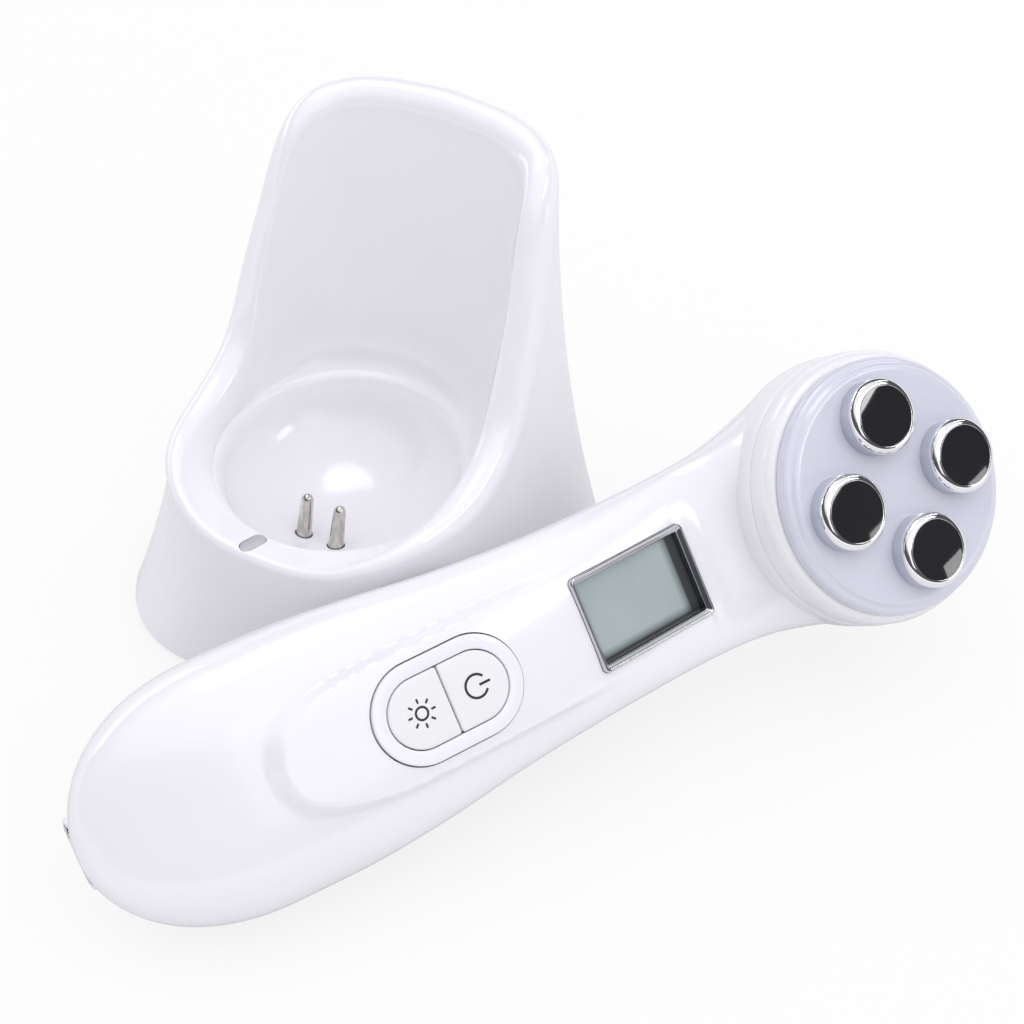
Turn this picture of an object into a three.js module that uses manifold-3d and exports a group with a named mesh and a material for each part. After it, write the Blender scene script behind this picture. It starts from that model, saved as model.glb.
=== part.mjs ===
// A facial massager: a handset with four skin electrodes on a round light disc,
// and the cradle that charges it. The handset leans on the cradle's front corner.
// Millimetres, +Z up. The origin is the centre of the cradle's underside, its front faces -Y.
import * as THREE from "three";
import { mergeVertices } from "three/addons/utils/BufferGeometryUtils.js";
import Module from "manifold-3d";

const wasm = await Module();
wasm.setup();

// Clearances that more than one piece uses
const SEAT_GAP = 0.3;
const SCREW_GAP = 0.25;
const MERGE_STEP = 1e-4;
const REACH = 60;
const FACET_STEP = 0.08;

// Cradle: outer form
const BASE_HALF_WIDTH = 47.5;
const BASE_FRONT = -43;
const BASE_BACK = 47.5;
const BASE_CORNER = 27;
const SHELL_BOTTOM = 0.2;
const RIM_HALF_WIDTH = 35;
const RIM_FULLNESS = 2.7;
const RIM_FRONT = -41;
const RIM_BACK = 45.5;
const RIM_TOP = 103;
const RIM_ROUNDING_FRONT = 2.4;
const RIM_ROUNDING_BACK = 4.8;
const WALL_FLARE = 2;
const SHELL_WALL = 2.2;

// Cradle: bowl that takes the handset's end
const BOWL_CENTRE = -7.5;
const BOWL_RADIUS = 26;
const BOWL_EDGE = 40.5;
const BOWL_DEPTH = 16.5;
const FACE_FOOT = 6.5;

// Cradle: underside, feet and board
const BASE_THICKNESS = 2.2;
const BASE_LEAN = 2.2;
const FOOT_RADIUS = 5;
const FOOT_PROUD = 1;
const FOOT_RECESS = 1;
const FOOT_SPREAD_X = BASE_HALF_WIDTH - 15.5;
const FOOT_SPREAD_Y = (BASE_BACK - BASE_FRONT) / 2 - 17.25;
const BOARD_LEVEL = 9;
const BOARD_THICKNESS = 1.6;
const CRADLE_BOARD_WIDTH = 34;
const CRADLE_BOARD_FRONT = -34;
const CRADLE_BOARD_BACK = 36;
const STANDOFF_RADIUS = 2.6;
const SCREW_SIDE = BASE_HALF_WIDTH - 11.5;
const BASE_SCREWS = [[-SCREW_SIDE, -10], [SCREW_SIDE, -10], [-SCREW_SIDE - 1, 14], [SCREW_SIDE + 1, 14]];
const BASE_SCREW_BOSS = 3.2;
const BASE_BOSS_TOP = 38;

// Cradle: charging pins, indicator and power inlet
const PIN_SPACING = 8;
const PIN_RADIUS = 1.68;
const PIN_TIP_RADIUS = 1.3;
const PIN_HEIGHT = 9.7;
const PIN_SHANK = 6;
const PIN_LEAN = THREE.MathUtils.degToRad(18);
const PIN_BACK = -18.3;
const PIN_HOLE_GAP = 0.3;
const WINDOW_X = -3.3;
const WINDOW_Y = -37.5;
const WINDOW_LENGTH = 6;
const WINDOW_RADIUS = 1.5;
const WINDOW_TURN = THREE.MathUtils.degToRad(66);
const WINDOW_DEPTH = 5;
const INLET_RADIUS = 4.2;
const INLET_BORE = 2.9;
const INLET_DEPTH = 9;
const INLET_BODY = 10;
const INLET_HOLE_START = 12;
const LAMP_RADIUS = 1.5;
const LAMP_HEIGHT = 2.8;

// Handset pose beside the cradle
const HANDSET_HEADING = THREE.MathUtils.degToRad(61.4);
const HANDSET_PITCH = THREE.MathUtils.degToRad(-0.5);
const HANDSET_ROLL = THREE.MathUtils.degToRad(47);
const HANDSET_PLACE = new THREE.Vector3(72.7, -11.6, 37);

// Handset covers, along the handle from the display's centre, head end positive
const COVER_WALL = 2;
const SEAM_GAP = 0.3;
const NOSE_START = -85;
const NOSE_LENGTH = 34.3;
const NOSE_POWER = 2.2;
const NOSE_POLE = -23.5;
const FRONT_SLOPE = -0.11;
const FRONT_CURVE = -0.00343;
const FRONT_FULLNESS = 3;
const BACK_FULLNESS = 2.1;
const NECK_END = 60;

// Handset tongue panel
const TONGUE_LIFT = 0.9;
const TONGUE_END = -83;
const TONGUE_HALF_WIDTH = 13.2;
const TONGUE_TIP_HALF_WIDTH = 9.5;
const TONGUE_BEVEL = 1.6;
const TONGUE_FADE_START = -38;
const TONGUE_FADE_END = -6;

// Handset head
const HEAD_CENTRE = 55.4;
const HEAD_RADIUS = 29;
const HEAD_RIM = 6;
const HEAD_DOME = -17.5;
const COLLAR_RADIUS = 28.8;
const COLLAR_TOP_RADIUS = 27.3;
const COLLAR_TOP = 12.4;
const COLLAR_WALL = 2.4;
const COLLAR_LEDGE = 22.3;
const COLLAR_LEDGE_TOP = 7.5;
const DISC_FACE = 16.7;
const DISC_FACE_RADIUS = 24.8;
const DISC_RADIUS = 26.8;
const DISC_WALL = 2.2;
const LED_BOARD_THICKNESS = 1.2;
const LED_RADIUS = 1.6;
const LED_HEIGHT = 1.7;
const LED_CIRCLE = 6.5;

// Handset electrodes
const ELECTRODE_CIRCLE = 14.8;
const ELECTRODE_RADIUS = 7.85;
const ELECTRODE_HEIGHT = 4.9;
const ELECTRODE_EDGE = 1.1;
const ELECTRODE_SEAT = 1.2;
const STUD_RADIUS = 1.5;
const STUD_LENGTH = 13.4;
const NUT_RADIUS = 3.1;
const NUT_HEIGHT = 1.8;

// Handset display
const DISPLAY_LENGTH = 30;
const DISPLAY_WIDTH = 20.4;
const DISPLAY_CORNER = 1.3;
const DISPLAY_BAND = 1.5;
const DISPLAY_PROUD = 0.45;
const DISPLAY_DEPTH = 3;
const GLASS_DEPTH = 1.4;
const GLASS_THICKNESS = 0.9;
const MODULE_THICKNESS = 1.6;

// Handset buttons
const BUTTONS_CENTRE = -47.6;
const RING_HALF_STRAIGHT = 5.85;
const RING_RADIUS = 10.15;
const RING_BAND = 2.9;
const RING_PROUD = 0.35;
const RING_DEPTH = 2.6;
const BUTTON_GAP = 0.25;
const BUTTON_PROUD = 0.5;
const BUTTON_DEPTH = 2.4;
const BUTTON_TRAVEL = 0.6;
const STEM_RADIUS = 1.6;
const STEM_LENGTH = 1.4;
const STEM_PLACE = 6.2;
const SWITCH_SIDE = 6;
const PLUNGER_RADIUS = 1.7;
const PLUNGER_HEIGHT = 0.7;

// Handset inner pieces
const MAIN_BOARD_TOP = -6.8;
const MAIN_BOARD_START = -58;
const MAIN_BOARD_END = 18;
const MAIN_BOARD_WIDTH = 25;
const CELL_RADIUS = 9;
const CELL_START = -104;
const CELL_LENGTH = 36;
const CELL_LEVEL = -25;
const CELL_RIB = 2.4;
const TRANSFORMER = new THREE.Vector3(11, 10, 7);
const TRANSFORMER_PLACE = -28;
const CONTACT_RADIUS = 2.6;
const CONTACT_BORE = 1.85;
const CONTACT_LENGTH = 10;
const CONTACT_LEVEL = -28;
const CONTACT_PAD = 4.4;
const CONTACT_PAD_PROUD = 0.5;
const COVER_SCREWS = [[-92, 16.5], [-92, -16.5], [24.5, 0]];
const SCREW_RADIUS = 1.1;
const SCREW_HEAD_RADIUS = 2.1;
const SCREW_HEAD_HEIGHT = 1.4;
const BOSS_RADIUS = 3.1;
const SCREW_GRIP = 7;

const group = new THREE.Group();
const handset = new THREE.Group();

// Materials

function finish(color, roughness, metalness = 0) {
  return new THREE.MeshStandardMaterial({ color, roughness, metalness });
}

const WHITE_GLOSS = [0xf1f0f6, 0.18];
const WHITE_BUTTON = [0xf3f3f7, 0.3];
const CHROME = [0xc9cacf, 0.08, 1];
const NICKEL = [0xa8a39c, 0.25, 1];
const STEEL = [0x9a9c9f, 0.35, 1];
const BOARD_GREEN = [0x2c5a3c, 0.6];
const DARK_PLASTIC = [0x26272b, 0.5];
const RUBBER_GREY = [0x8c8d92, 0.85];

// Solids

function faceOut(geometry) {
  const place = geometry.attributes.position;
  const index = geometry.index;
  const corner = [new THREE.Vector3(), new THREE.Vector3(), new THREE.Vector3()];
  let volume = 0;
  for (let i = 0; i < index.count; i += 3) {
    corner.forEach((point, k) => point.fromBufferAttribute(place, index.getX(i + k)));
    volume += corner[0].dot(corner[1].clone().cross(corner[2]));
  }
  if (volume < 0) {
    for (let i = 0; i < index.count; i += 3) {
      const first = index.getX(i);
      index.setX(i, index.getX(i + 1));
      index.setX(i + 1, first);
    }
  }
  return geometry;
}

function closed(geometry) {
  const plain = geometry.clone();
  plain.deleteAttribute("normal");
  plain.deleteAttribute("uv");
  return faceOut(mergeVertices(plain, MERGE_STEP));
}

function solid(geometry) {
  const ready = closed(geometry);
  return new wasm.Manifold(new wasm.Mesh({
    numProp: 3,
    vertProperties: Float32Array.from(ready.attributes.position.array),
    triVerts: Uint32Array.from(ready.index.array),
  }));
}

function shapeOf(manifold) {
  const mesh = manifold.simplify(FACET_STEP).getMesh();
  const geometry = new THREE.BufferGeometry();
  geometry.setAttribute("position", new THREE.BufferAttribute(mesh.vertProperties, 3));
  geometry.setIndex(new THREE.BufferAttribute(mesh.triVerts, 1));
  return geometry;
}

function add(parent, name, shape, look) {
  const geometry = shape.isBufferGeometry ? closed(shape) : shapeOf(shape);
  geometry.computeVertexNormals();
  const mesh = new THREE.Mesh(geometry, finish(...look));
  mesh.name = name;
  parent.add(mesh);
  return mesh;
}

// A turned piece about Z from [radius, height] points, on the axis at both ends or closed
function turned(points, segments = 32) {
  const profile = points.map(([radius, height]) => new THREE.Vector2(radius, height));
  return new THREE.LatheGeometry(profile, segments).rotateX(Math.PI / 2);
}

function ringProfile(inner, outer, low, high) {
  return [[inner, low], [outer, low], [outer, high], [inner, high], [inner, low]];
}

function column(radius, low, high, x = 0, y = 0, segments = 12) {
  const bar = turned([[0, low], [radius, low], [radius, high], [0, high]], segments);
  return solid(bar.translate(x, y, 0));
}

function block(width, depth, height, x, y, z) {
  return solid(new THREE.BoxGeometry(width, depth, height).translate(x, y, z));
}

function extruded(shape, low, high, bevel = 0, steps = 12) {
  const body = new THREE.ExtrudeGeometry(shape, {
    depth: high - low - 2 * bevel,
    bevelEnabled: bevel > 0,
    bevelThickness: bevel,
    bevelSize: bevel,
    bevelOffset: -bevel,
    bevelSegments: 1,
    curveSegments: steps,
  });
  return body.translate(0, 0, low + bevel);
}

function roundedRectangle(width, height, corner) {
  const x = width / 2;
  const y = height / 2;
  const shape = new THREE.Shape();
  shape.moveTo(-x + corner, -y);
  shape.lineTo(x - corner, -y);
  shape.absarc(x - corner, -y + corner, corner, -Math.PI / 2, 0);
  shape.lineTo(x, y - corner);
  shape.absarc(x - corner, y - corner, corner, 0, Math.PI / 2);
  shape.lineTo(-x + corner, y);
  shape.absarc(-x + corner, y - corner, corner, Math.PI / 2, Math.PI);
  shape.lineTo(-x, -y + corner);
  shape.absarc(-x + corner, -y + corner, corner, Math.PI, 1.5 * Math.PI);
  return shape;
}

function racetrack(halfStraight, radius) {
  const shape = new THREE.Shape();
  shape.moveTo(-halfStraight, -radius);
  shape.lineTo(halfStraight, -radius);
  shape.absarc(halfStraight, 0, radius, -Math.PI / 2, Math.PI / 2);
  shape.lineTo(-halfStraight, radius);
  shape.absarc(-halfStraight, 0, radius, Math.PI / 2, 1.5 * Math.PI);
  return shape;
}

// One half of a racetrack, the end that points along +X
function halfRacetrack(start, halfStraight, radius) {
  const shape = new THREE.Shape();
  shape.moveTo(start, -radius);
  shape.lineTo(halfStraight, -radius);
  shape.absarc(halfStraight, 0, radius, -Math.PI / 2, Math.PI / 2);
  shape.lineTo(start, radius);
  shape.lineTo(start, -radius);
  return shape;
}

// A closed skin through rings of equal count, with a point at each end
function loft(rings, startPoint, endPoint) {
  const count = rings[0].length;
  const corners = rings.flat();
  const faces = [];
  for (let i = 0; i < rings.length - 1; i += 1) {
    for (let j = 0; j < count; j += 1) {
      const here = i * count + j;
      const next = i * count + ((j + 1) % count);
      faces.push(here, next, next + count, here, next + count, here + count);
    }
  }
  const start = corners.length;
  const end = start + 1;
  const last = (rings.length - 1) * count;
  corners.push(startPoint, endPoint);
  for (let j = 0; j < count; j += 1) {
    const next = (j + 1) % count;
    faces.push(start, next, j);
    faces.push(end, last + j, last + next);
  }
  const geometry = new THREE.BufferGeometry().setFromPoints(corners);
  geometry.setIndex(faces);
  return geometry;
}

// A smooth curve through [place, value] pairs, level past both ends
function through(pairs) {
  const slopes = pairs.map((pair, i) => {
    const before = pairs[Math.max(i - 1, 0)];
    const after = pairs[Math.min(i + 1, pairs.length - 1)];
    return (after[1] - before[1]) / (after[0] - before[0]);
  });
  return (place) => {
    if (place <= pairs[0][0]) return pairs[0][1];
    if (place >= pairs[pairs.length - 1][0]) return pairs[pairs.length - 1][1];
    const i = pairs.findIndex((pair) => pair[0] > place) - 1;
    const [x0, y0] = pairs[i];
    const [x1, y1] = pairs[i + 1];
    const span = x1 - x0;
    const t = (place - x0) / span;
    const lift = y0 * (1 + 2 * t) * (1 - t) ** 2 + y1 * t * t * (3 - 2 * t);
    return lift + span * (slopes[i] * t * (1 - t) ** 2 - slopes[i + 1] * t * t * (1 - t));
  };
}

function between(low, high, count) {
  return Array.from({ length: count }, (_, i) => low + ((high - low) * i) / (count - 1));
}

// Cradle

const rimHeight = through([
  [RIM_FRONT, 41], [-36, 44.5], [-28, 47], [-8, 48.5], [5, 55], [14, 69.5],
  [20, 80], [24, 88.5], [28, 95], [34, RIM_TOP - 3.2], [40.5, RIM_TOP - 1.5], [RIM_BACK, RIM_TOP],
]);

const backHalfWidth = through([
  [0, RIM_HALF_WIDTH], [6, RIM_HALF_WIDTH], [14, 34.6], [20, 33.7], [28, 31.6],
  [34, 29.2], [40.5, 23.5], [44, 14], [RIM_BACK, 0],
]);

// The rim in plan: a full round front, and a backrest that narrows towards the back
function rimHalfWidth(y) {
  if (y > 0) return backHalfWidth(y);
  const share = Math.min(y / RIM_FRONT, 1) ** RIM_FULLNESS;
  return RIM_HALF_WIDTH * (1 - share) ** (1 / RIM_FULLNESS);
}

// Distance from the bowl's axis to a rounded outline, in one direction
function reachOf(angle, inside) {
  let low = 0;
  let high = REACH * 2;
  for (let step = 0; step < 40; step += 1) {
    const middle = (low + high) / 2;
    const x = middle * Math.cos(angle);
    const y = BOWL_CENTRE + middle * Math.sin(angle);
    if (inside(x, y)) low = middle;
    else high = middle;
  }
  return low;
}

function inBase(inset) {
  const corner = BASE_CORNER - inset;
  return (x, y) => {
    const middle = (BASE_FRONT + BASE_BACK) / 2;
    const overX = Math.abs(x) - (BASE_HALF_WIDTH - BASE_CORNER);
    const overY = Math.abs(y - middle) - ((BASE_BACK - BASE_FRONT) / 2 - BASE_CORNER);
    if (overX <= 0 || overY <= 0) return Math.max(overX, overY) < corner;
    return Math.hypot(overX, overY) < corner;
  };
}

function inRim(x, y) {
  if (y <= RIM_FRONT || y >= RIM_BACK) return false;
  return Math.abs(x) < rimHalfWidth(y);
}

function bezier(t, a, b, c, d) {
  const s = 1 - t;
  return [0, 1].map((k) => (
    s * s * s * a[k] + 3 * s * s * t * b[k] + 3 * s * t * t * c[k] + t * t * t * d[k]
  ));
}

// The cradle's skin in one direction: up the outer wall, over the rim and down to the bowl
function cradleProfile(angle) {
  const base = reachOf(angle, inBase(0));
  const rim = reachOf(angle, inRim);
  const top = rimHeight(BOWL_CENTRE + rim * Math.sin(angle));
  const backness = THREE.MathUtils.smoothstep(Math.sin(angle), 0, 0.9);
  const shelf = BOWL_EDGE + 0.4;
  const half = THREE.MathUtils.lerp(
    RIM_ROUNDING_FRONT,
    RIM_ROUNDING_BACK,
    THREE.MathUtils.smoothstep(Math.sin(angle), -1, 0),
  );
  const drop = Math.min(half, 0.6 * (top - shelf));
  const outer = [rim + half * 0.25, top - half];
  const inner = [rim - half * 1.5, top - drop];
  const foot = BOWL_RADIUS + 1 + FACE_FOOT * backness;
  const wall = between(0, 1, 5).map((t) => [
    THREE.MathUtils.lerp(outer[0], base, (1 - t) ** WALL_FLARE),
    THREE.MathUtils.lerp(SHELL_BOTTOM, outer[1], t),
  ]);
  const crest = [
    [rim, top - half * 0.35],
    [rim - half * 0.5, top],
    [rim - half * 1.05, top - drop * 0.3],
  ];
  const face = between(0, 1, 5).map((t) => bezier(
    t,
    inner,
    [inner[0] - 0.3 * (inner[0] - foot), inner[1] - 0.55 * (inner[1] - shelf)],
    [foot + 0.04 * (inner[0] - foot), shelf + 0.06 * (inner[1] - shelf)],
    [BOWL_RADIUS + 0.6, BOWL_EDGE],
  ));
  const bowl = between(0.1, 0.9, 4).map((t) => [
    BOWL_RADIUS * Math.cos((Math.PI / 2) * t),
    BOWL_EDGE - BOWL_DEPTH * Math.sin((Math.PI / 2) * t),
  ]);
  return { wall, crest, face, bowl };
}

// Points moved sideways by the wall's thickness, to the right of their direction of travel
function moved(points, distance) {
  return points.map((point, i) => {
    const before = points[Math.max(i - 1, 0)];
    const after = points[Math.min(i + 1, points.length - 1)];
    const along = [after[0] - before[0], after[1] - before[1]];
    const length = Math.hypot(...along);
    return [point[0] - (along[1] / length) * distance, point[1] + (along[0] / length) * distance];
  });
}

function bowlHeight(x, y) {
  const share = Math.min(Math.hypot(x, y - BOWL_CENTRE) / BOWL_RADIUS, 1);
  return BOWL_EDGE - BOWL_DEPTH * Math.sqrt(1 - share * share);
}

const CRADLE_ANGLES = 36;
const HOLLOW_ANGLES = 24;

// Skins are lofted ring by ring: ring k joins the k-th profile point of every direction
function cradleSkin(profileAt, count, endPoint, startPoint) {
  const profiles = between(0, count - 1, count).map((i) => {
    const angle = (2 * Math.PI * i) / count;
    return profileAt(angle).map(([radius, height]) => new THREE.Vector3(
      radius * Math.cos(angle),
      BOWL_CENTRE + radius * Math.sin(angle),
      height,
    ));
  });
  const rings = profiles[0].map((_, k) => profiles.map((profile) => profile[k]));
  return loft(rings, startPoint, endPoint);
}

function cradleOuter() {
  const skin = (angle) => {
    const { wall, crest, face, bowl } = cradleProfile(angle);
    return [...wall, ...crest, ...face, ...bowl];
  };
  return solid(cradleSkin(
    skin,
    CRADLE_ANGLES,
    new THREE.Vector3(0, BOWL_CENTRE, BOWL_EDGE - BOWL_DEPTH),
    new THREE.Vector3(0, BOWL_CENTRE, SHELL_BOTTOM),
  ));
}

function cradleHollow() {
  const skin = (angle) => {
    const { wall, face, bowl } = cradleProfile(angle);
    const side = moved(wall, SHELL_WALL).slice(0, -1);
    const edge = face.length - 1;
    const under = moved([...face, ...bowl], SHELL_WALL).filter((_, i) => i > 0 && i !== edge);
    return [[side[0][0], SHELL_BOTTOM - 1], ...side.slice(1), ...under];
  };
  return solid(cradleSkin(
    skin,
    HOLLOW_ANGLES,
    new THREE.Vector3(0, BOWL_CENTRE, BOWL_EDGE - BOWL_DEPTH - SHELL_WALL),
    new THREE.Vector3(0, BOWL_CENTRE, SHELL_BOTTOM - 1),
  ));
}

const PIN_BASE = bowlHeight(PIN_SPACING / 2, PIN_BACK);
const boardTop = BOARD_LEVEL + BOARD_THICKNESS;
const baseTop = BASE_THICKNESS;
const inletLevel = boardTop + SEAT_GAP + INLET_BODY / 2;

// Places a shape made about Z on the cradle's pin axis
function onPinAxis(geometry, side) {
  return geometry.rotateX(-PIN_LEAN).translate((side * PIN_SPACING) / 2, PIN_BACK, PIN_BASE);
}

function windowShape(radius) {
  return racetrack((WINDOW_LENGTH - 2 * WINDOW_RADIUS) / 2, radius);
}

function atWindow(geometry) {
  return geometry.rotateZ(WINDOW_TURN).translate(WINDOW_X, WINDOW_Y, 0);
}

function addCradleShell() {
  let shell = cradleOuter().subtract(cradleHollow());
  const outside = cradleOuter();
  for (const [x, y] of BASE_SCREWS) {
    const boss = column(BASE_SCREW_BOSS, baseTop + SEAT_GAP, BASE_BOSS_TOP, x, y, 8);
    const core = column(SCREW_RADIUS + SCREW_GAP, 0, boardTop + 2, x, y, 8);
    shell = shell.add(boss.intersect(outside)).subtract(core);
  }
  for (const side of [-1, 1]) {
    const hole = turned(
      [[0, -8], [PIN_RADIUS + PIN_HOLE_GAP, -8], [PIN_RADIUS + PIN_HOLE_GAP, 4], [0, 4]],
      16,
    );
    shell = shell.subtract(solid(onPinAxis(hole, side)));
  }
  const slotLow = BOWL_EDGE - WINDOW_DEPTH - 1;
  const slot = extruded(windowShape(WINDOW_RADIUS + SEAT_GAP), slotLow, RIM_TOP, 0, 8);
  shell = shell.subtract(solid(atWindow(slot)));
  const inletHole = turned(
    [[0, 0], [INLET_RADIUS + SEAT_GAP, 0], [INLET_RADIUS + SEAT_GAP, REACH], [0, REACH]],
    20,
  ).rotateX(-Math.PI / 2).translate(0, BASE_BACK - INLET_HOLE_START, inletLevel);
  shell = shell.subtract(solid(inletHole));
  add(group, "cradle_shell", shell, WHITE_GLOSS);
}

function baseOutline(inset) {
  const width = 2 * (BASE_HALF_WIDTH - inset);
  const depth = BASE_BACK - BASE_FRONT - 2 * inset;
  return roundedRectangle(width, depth, BASE_CORNER - inset);
}

function addCradleBase() {
  const middle = (BASE_FRONT + BASE_BACK) / 2;
  const outline = baseOutline(SHELL_WALL + BASE_LEAN + SEAT_GAP);
  let plate = solid(extruded(outline, 0, BASE_THICKNESS, 0, 6).translate(0, middle, 0));
  for (const x of [-CRADLE_BOARD_WIDTH / 2 + 4, CRADLE_BOARD_WIDTH / 2 - 4]) {
    for (const y of [CRADLE_BOARD_FRONT + 5, CRADLE_BOARD_BACK - 12]) {
      plate = plate.add(column(STANDOFF_RADIUS, BASE_THICKNESS / 2, BOARD_LEVEL - SEAT_GAP, x, y, 8));
    }
  }
  for (const x of [-FOOT_SPREAD_X, FOOT_SPREAD_X]) {
    for (const y of [middle - FOOT_SPREAD_Y, middle + FOOT_SPREAD_Y]) {
      plate = plate.subtract(column(FOOT_RADIUS + SEAT_GAP, -1, FOOT_RECESS, x, y, 12));
    }
  }
  for (const [x, y] of BASE_SCREWS) {
    plate = plate.subtract(column(SCREW_RADIUS + SCREW_GAP, -1, baseTop + 1, x, y, 8));
    plate = plate.subtract(column(SCREW_HEAD_RADIUS + SCREW_GAP, -1, SCREW_HEAD_HEIGHT - 0.4, x, y, 8));
  }
  add(group, "cradle_base", plate, WHITE_GLOSS);
}

function screwShape(length) {
  return turned([
    [0, 0], [SCREW_HEAD_RADIUS, 0], [SCREW_HEAD_RADIUS, SCREW_HEAD_HEIGHT - 0.5], [SCREW_RADIUS, SCREW_HEAD_HEIGHT - 0.5],
    [SCREW_RADIUS, length - 0.8], [0, length],
  ], 8);
}

function addCradleFasteners() {
  const middle = (BASE_FRONT + BASE_BACK) / 2;
  let foot = 0;
  for (const x of [-1, 1]) {
    for (const y of [-1, 1]) {
      foot += 1;
      const pad = turned([
        [0, -FOOT_PROUD], [FOOT_RADIUS - 0.4, -FOOT_PROUD], [FOOT_RADIUS, 0.4 - FOOT_PROUD],
        [FOOT_RADIUS, FOOT_RECESS - SEAT_GAP], [0, FOOT_RECESS - SEAT_GAP],
      ], 12);
      pad.translate(x * FOOT_SPREAD_X, middle + y * FOOT_SPREAD_Y, 0);
      add(group, "cradle_foot_" + foot, pad, RUBBER_GREY);
    }
  }
  BASE_SCREWS.forEach(([x, y], i) => {
    const shape = screwShape(boardTop).translate(x, y, 0.05);
    add(group, "base_screw_" + (i + 1), shape, STEEL);
  });
}

function addCradleElectrics() {
  const depth = CRADLE_BOARD_BACK - CRADLE_BOARD_FRONT;
  const middle = (CRADLE_BOARD_BACK + CRADLE_BOARD_FRONT) / 2;
  const level = BOARD_LEVEL + BOARD_THICKNESS / 2;
  add(group, "cradle_board", block(CRADLE_BOARD_WIDTH, depth, BOARD_THICKNESS, 0, middle, level), BOARD_GREEN);

  // The carrier stands on the board, its top square to the leaning pins
  const low = boardTop + SEAT_GAP;
  let carrier = block(18, 10, 12, 0, PIN_BACK - PIN_SHANK * Math.sin(PIN_LEAN), low + 6);
  const lid = solid(new THREE.BoxGeometry(40, 40, 20)
    .translate(0, 0, 10 - PIN_SHANK * 0.5)
    .rotateX(-PIN_LEAN)
    .translate(0, PIN_BACK, PIN_BASE));
  carrier = carrier.subtract(lid);
  for (const [name, side] of [["charge_pin_left", -1], ["charge_pin_right", 1]]) {
    const bore = turned(
      [[0, -PIN_SHANK - SEAT_GAP], [PIN_RADIUS + SEAT_GAP, -PIN_SHANK - SEAT_GAP],
        [PIN_RADIUS + SEAT_GAP, 4], [0, 4]],
      12,
    );
    carrier = carrier.subtract(solid(onPinAxis(bore, side)));
    const pin = turned([
      [0, -PIN_SHANK], [PIN_RADIUS, -PIN_SHANK], [PIN_RADIUS, 0.6],
      [PIN_TIP_RADIUS + 0.1, PIN_HEIGHT - PIN_TIP_RADIUS - 1.2],
      [PIN_TIP_RADIUS, PIN_HEIGHT - PIN_TIP_RADIUS],
      [PIN_TIP_RADIUS * 0.87, PIN_HEIGHT - PIN_TIP_RADIUS * 0.5],
      [PIN_TIP_RADIUS * 0.5, PIN_HEIGHT - PIN_TIP_RADIUS * 0.13],
      [0, PIN_HEIGHT],
    ], 16);
    add(group, name, onPinAxis(pin, side), NICKEL);
  }
  add(group, "pin_carrier", carrier, DARK_PLASTIC);
}

function addIndicator() {
  // The lens fills its slot flush with the shelf, above its lamp
  const lens = extruded(windowShape(WINDOW_RADIUS), BOWL_EDGE - WINDOW_DEPTH, RIM_TOP, 0, 8);
  add(group, "indicator_window", solid(atWindow(lens)).intersect(cradleOuter()), [0xb9bac0, 0.35]);
  const low = boardTop + SEAT_GAP;
  const lamp = turned([
    [0, low], [LAMP_RADIUS, low], [LAMP_RADIUS, low + LAMP_HEIGHT * 0.6],
    [LAMP_RADIUS * 0.6, low + LAMP_HEIGHT * 0.95], [0, low + LAMP_HEIGHT],
  ], 10);
  lamp.translate(WINDOW_X, CRADLE_BOARD_FRONT + 2, 0);
  add(group, "indicator_lamp", lamp, [0xcdd8e0, 0.3]);
}

function addInlet() {
  const back = BASE_BACK - 6;
  let inlet = block(INLET_BODY, INLET_DEPTH, INLET_BODY, 0, back - INLET_DEPTH / 2 - 0.6, inletLevel);
  const nose = turned([[0, 0], [INLET_RADIUS, 0], [INLET_RADIUS, 5], [0, 5]], 20)
    .rotateX(-Math.PI / 2).translate(0, back - 1.6, inletLevel);
  const bore = turned([[0, 0], [INLET_BORE, 0], [INLET_BORE, 20], [0, 20]], 16)
    .rotateX(-Math.PI / 2).translate(0, back - 6.5, inletLevel);
  const post = turned([[0, 0], [0.9, 0], [0.9, 8], [0.5, 8.6], [0, 8.6]], 12)
    .rotateX(-Math.PI / 2).translate(0, back - 7.5, inletLevel);
  inlet = inlet.add(solid(nose)).subtract(solid(bore)).add(solid(post));
  add(group, "power_inlet", inlet, DARK_PLASTIC);
}

// Handset covers: how finely they are cut into facets

const COVER_SIDES = 24;
const INNER_SIDES = 12;
const HEAD_SIDES = 32;
const HANDLE_STATIONS = [NOSE_START, -70, -54, -38, -22, -6, 8, 17, 23, 29, 35, 43, 52];

const frontLine = (along) => FRONT_SLOPE * along + 0.5 * FRONT_CURVE * along * along;
const neckRise = through([[14, 0], [20, 0.9], [26, 4.2], [33, 9.5], [40, 12.5], [NECK_END, 19]]);

const halfWidth = through([
  [NOSE_START, 25.6], [-69, 25.4], [-53, 24], [-36, 21.9], [-17, 20.4], [0, 19.9],
  [15, 20], [27, 20.8], [36, 22.9], [45, 25.9], [HEAD_CENTRE, 28], [NECK_END, 28],
]);
const seamLevel = through([
  [-120, NOSE_POLE], [-100, -22.6], [NOSE_START, -20.6], [-69, -17.3], [-53, -14], [-36, -11.6],
  [-17, -10], [0, -9.3], [15, -8.5], [28, -7], [42, -4.4], [HEAD_CENTRE, -2.2], [90, 0],
]);
const backLine = through([
  [NOSE_START, -41.5], [-69, -38.8], [-53, -33.2], [-36, -28], [-17, -25], [0, -24.2],
  [15, -23.2], [28, -22.2], [42, -20.2], [NECK_END, -17],
]);

function tongueFade(along) {
  return 1 - THREE.MathUtils.smoothstep(along, TONGUE_FADE_START, TONGUE_FADE_END);
}

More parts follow.
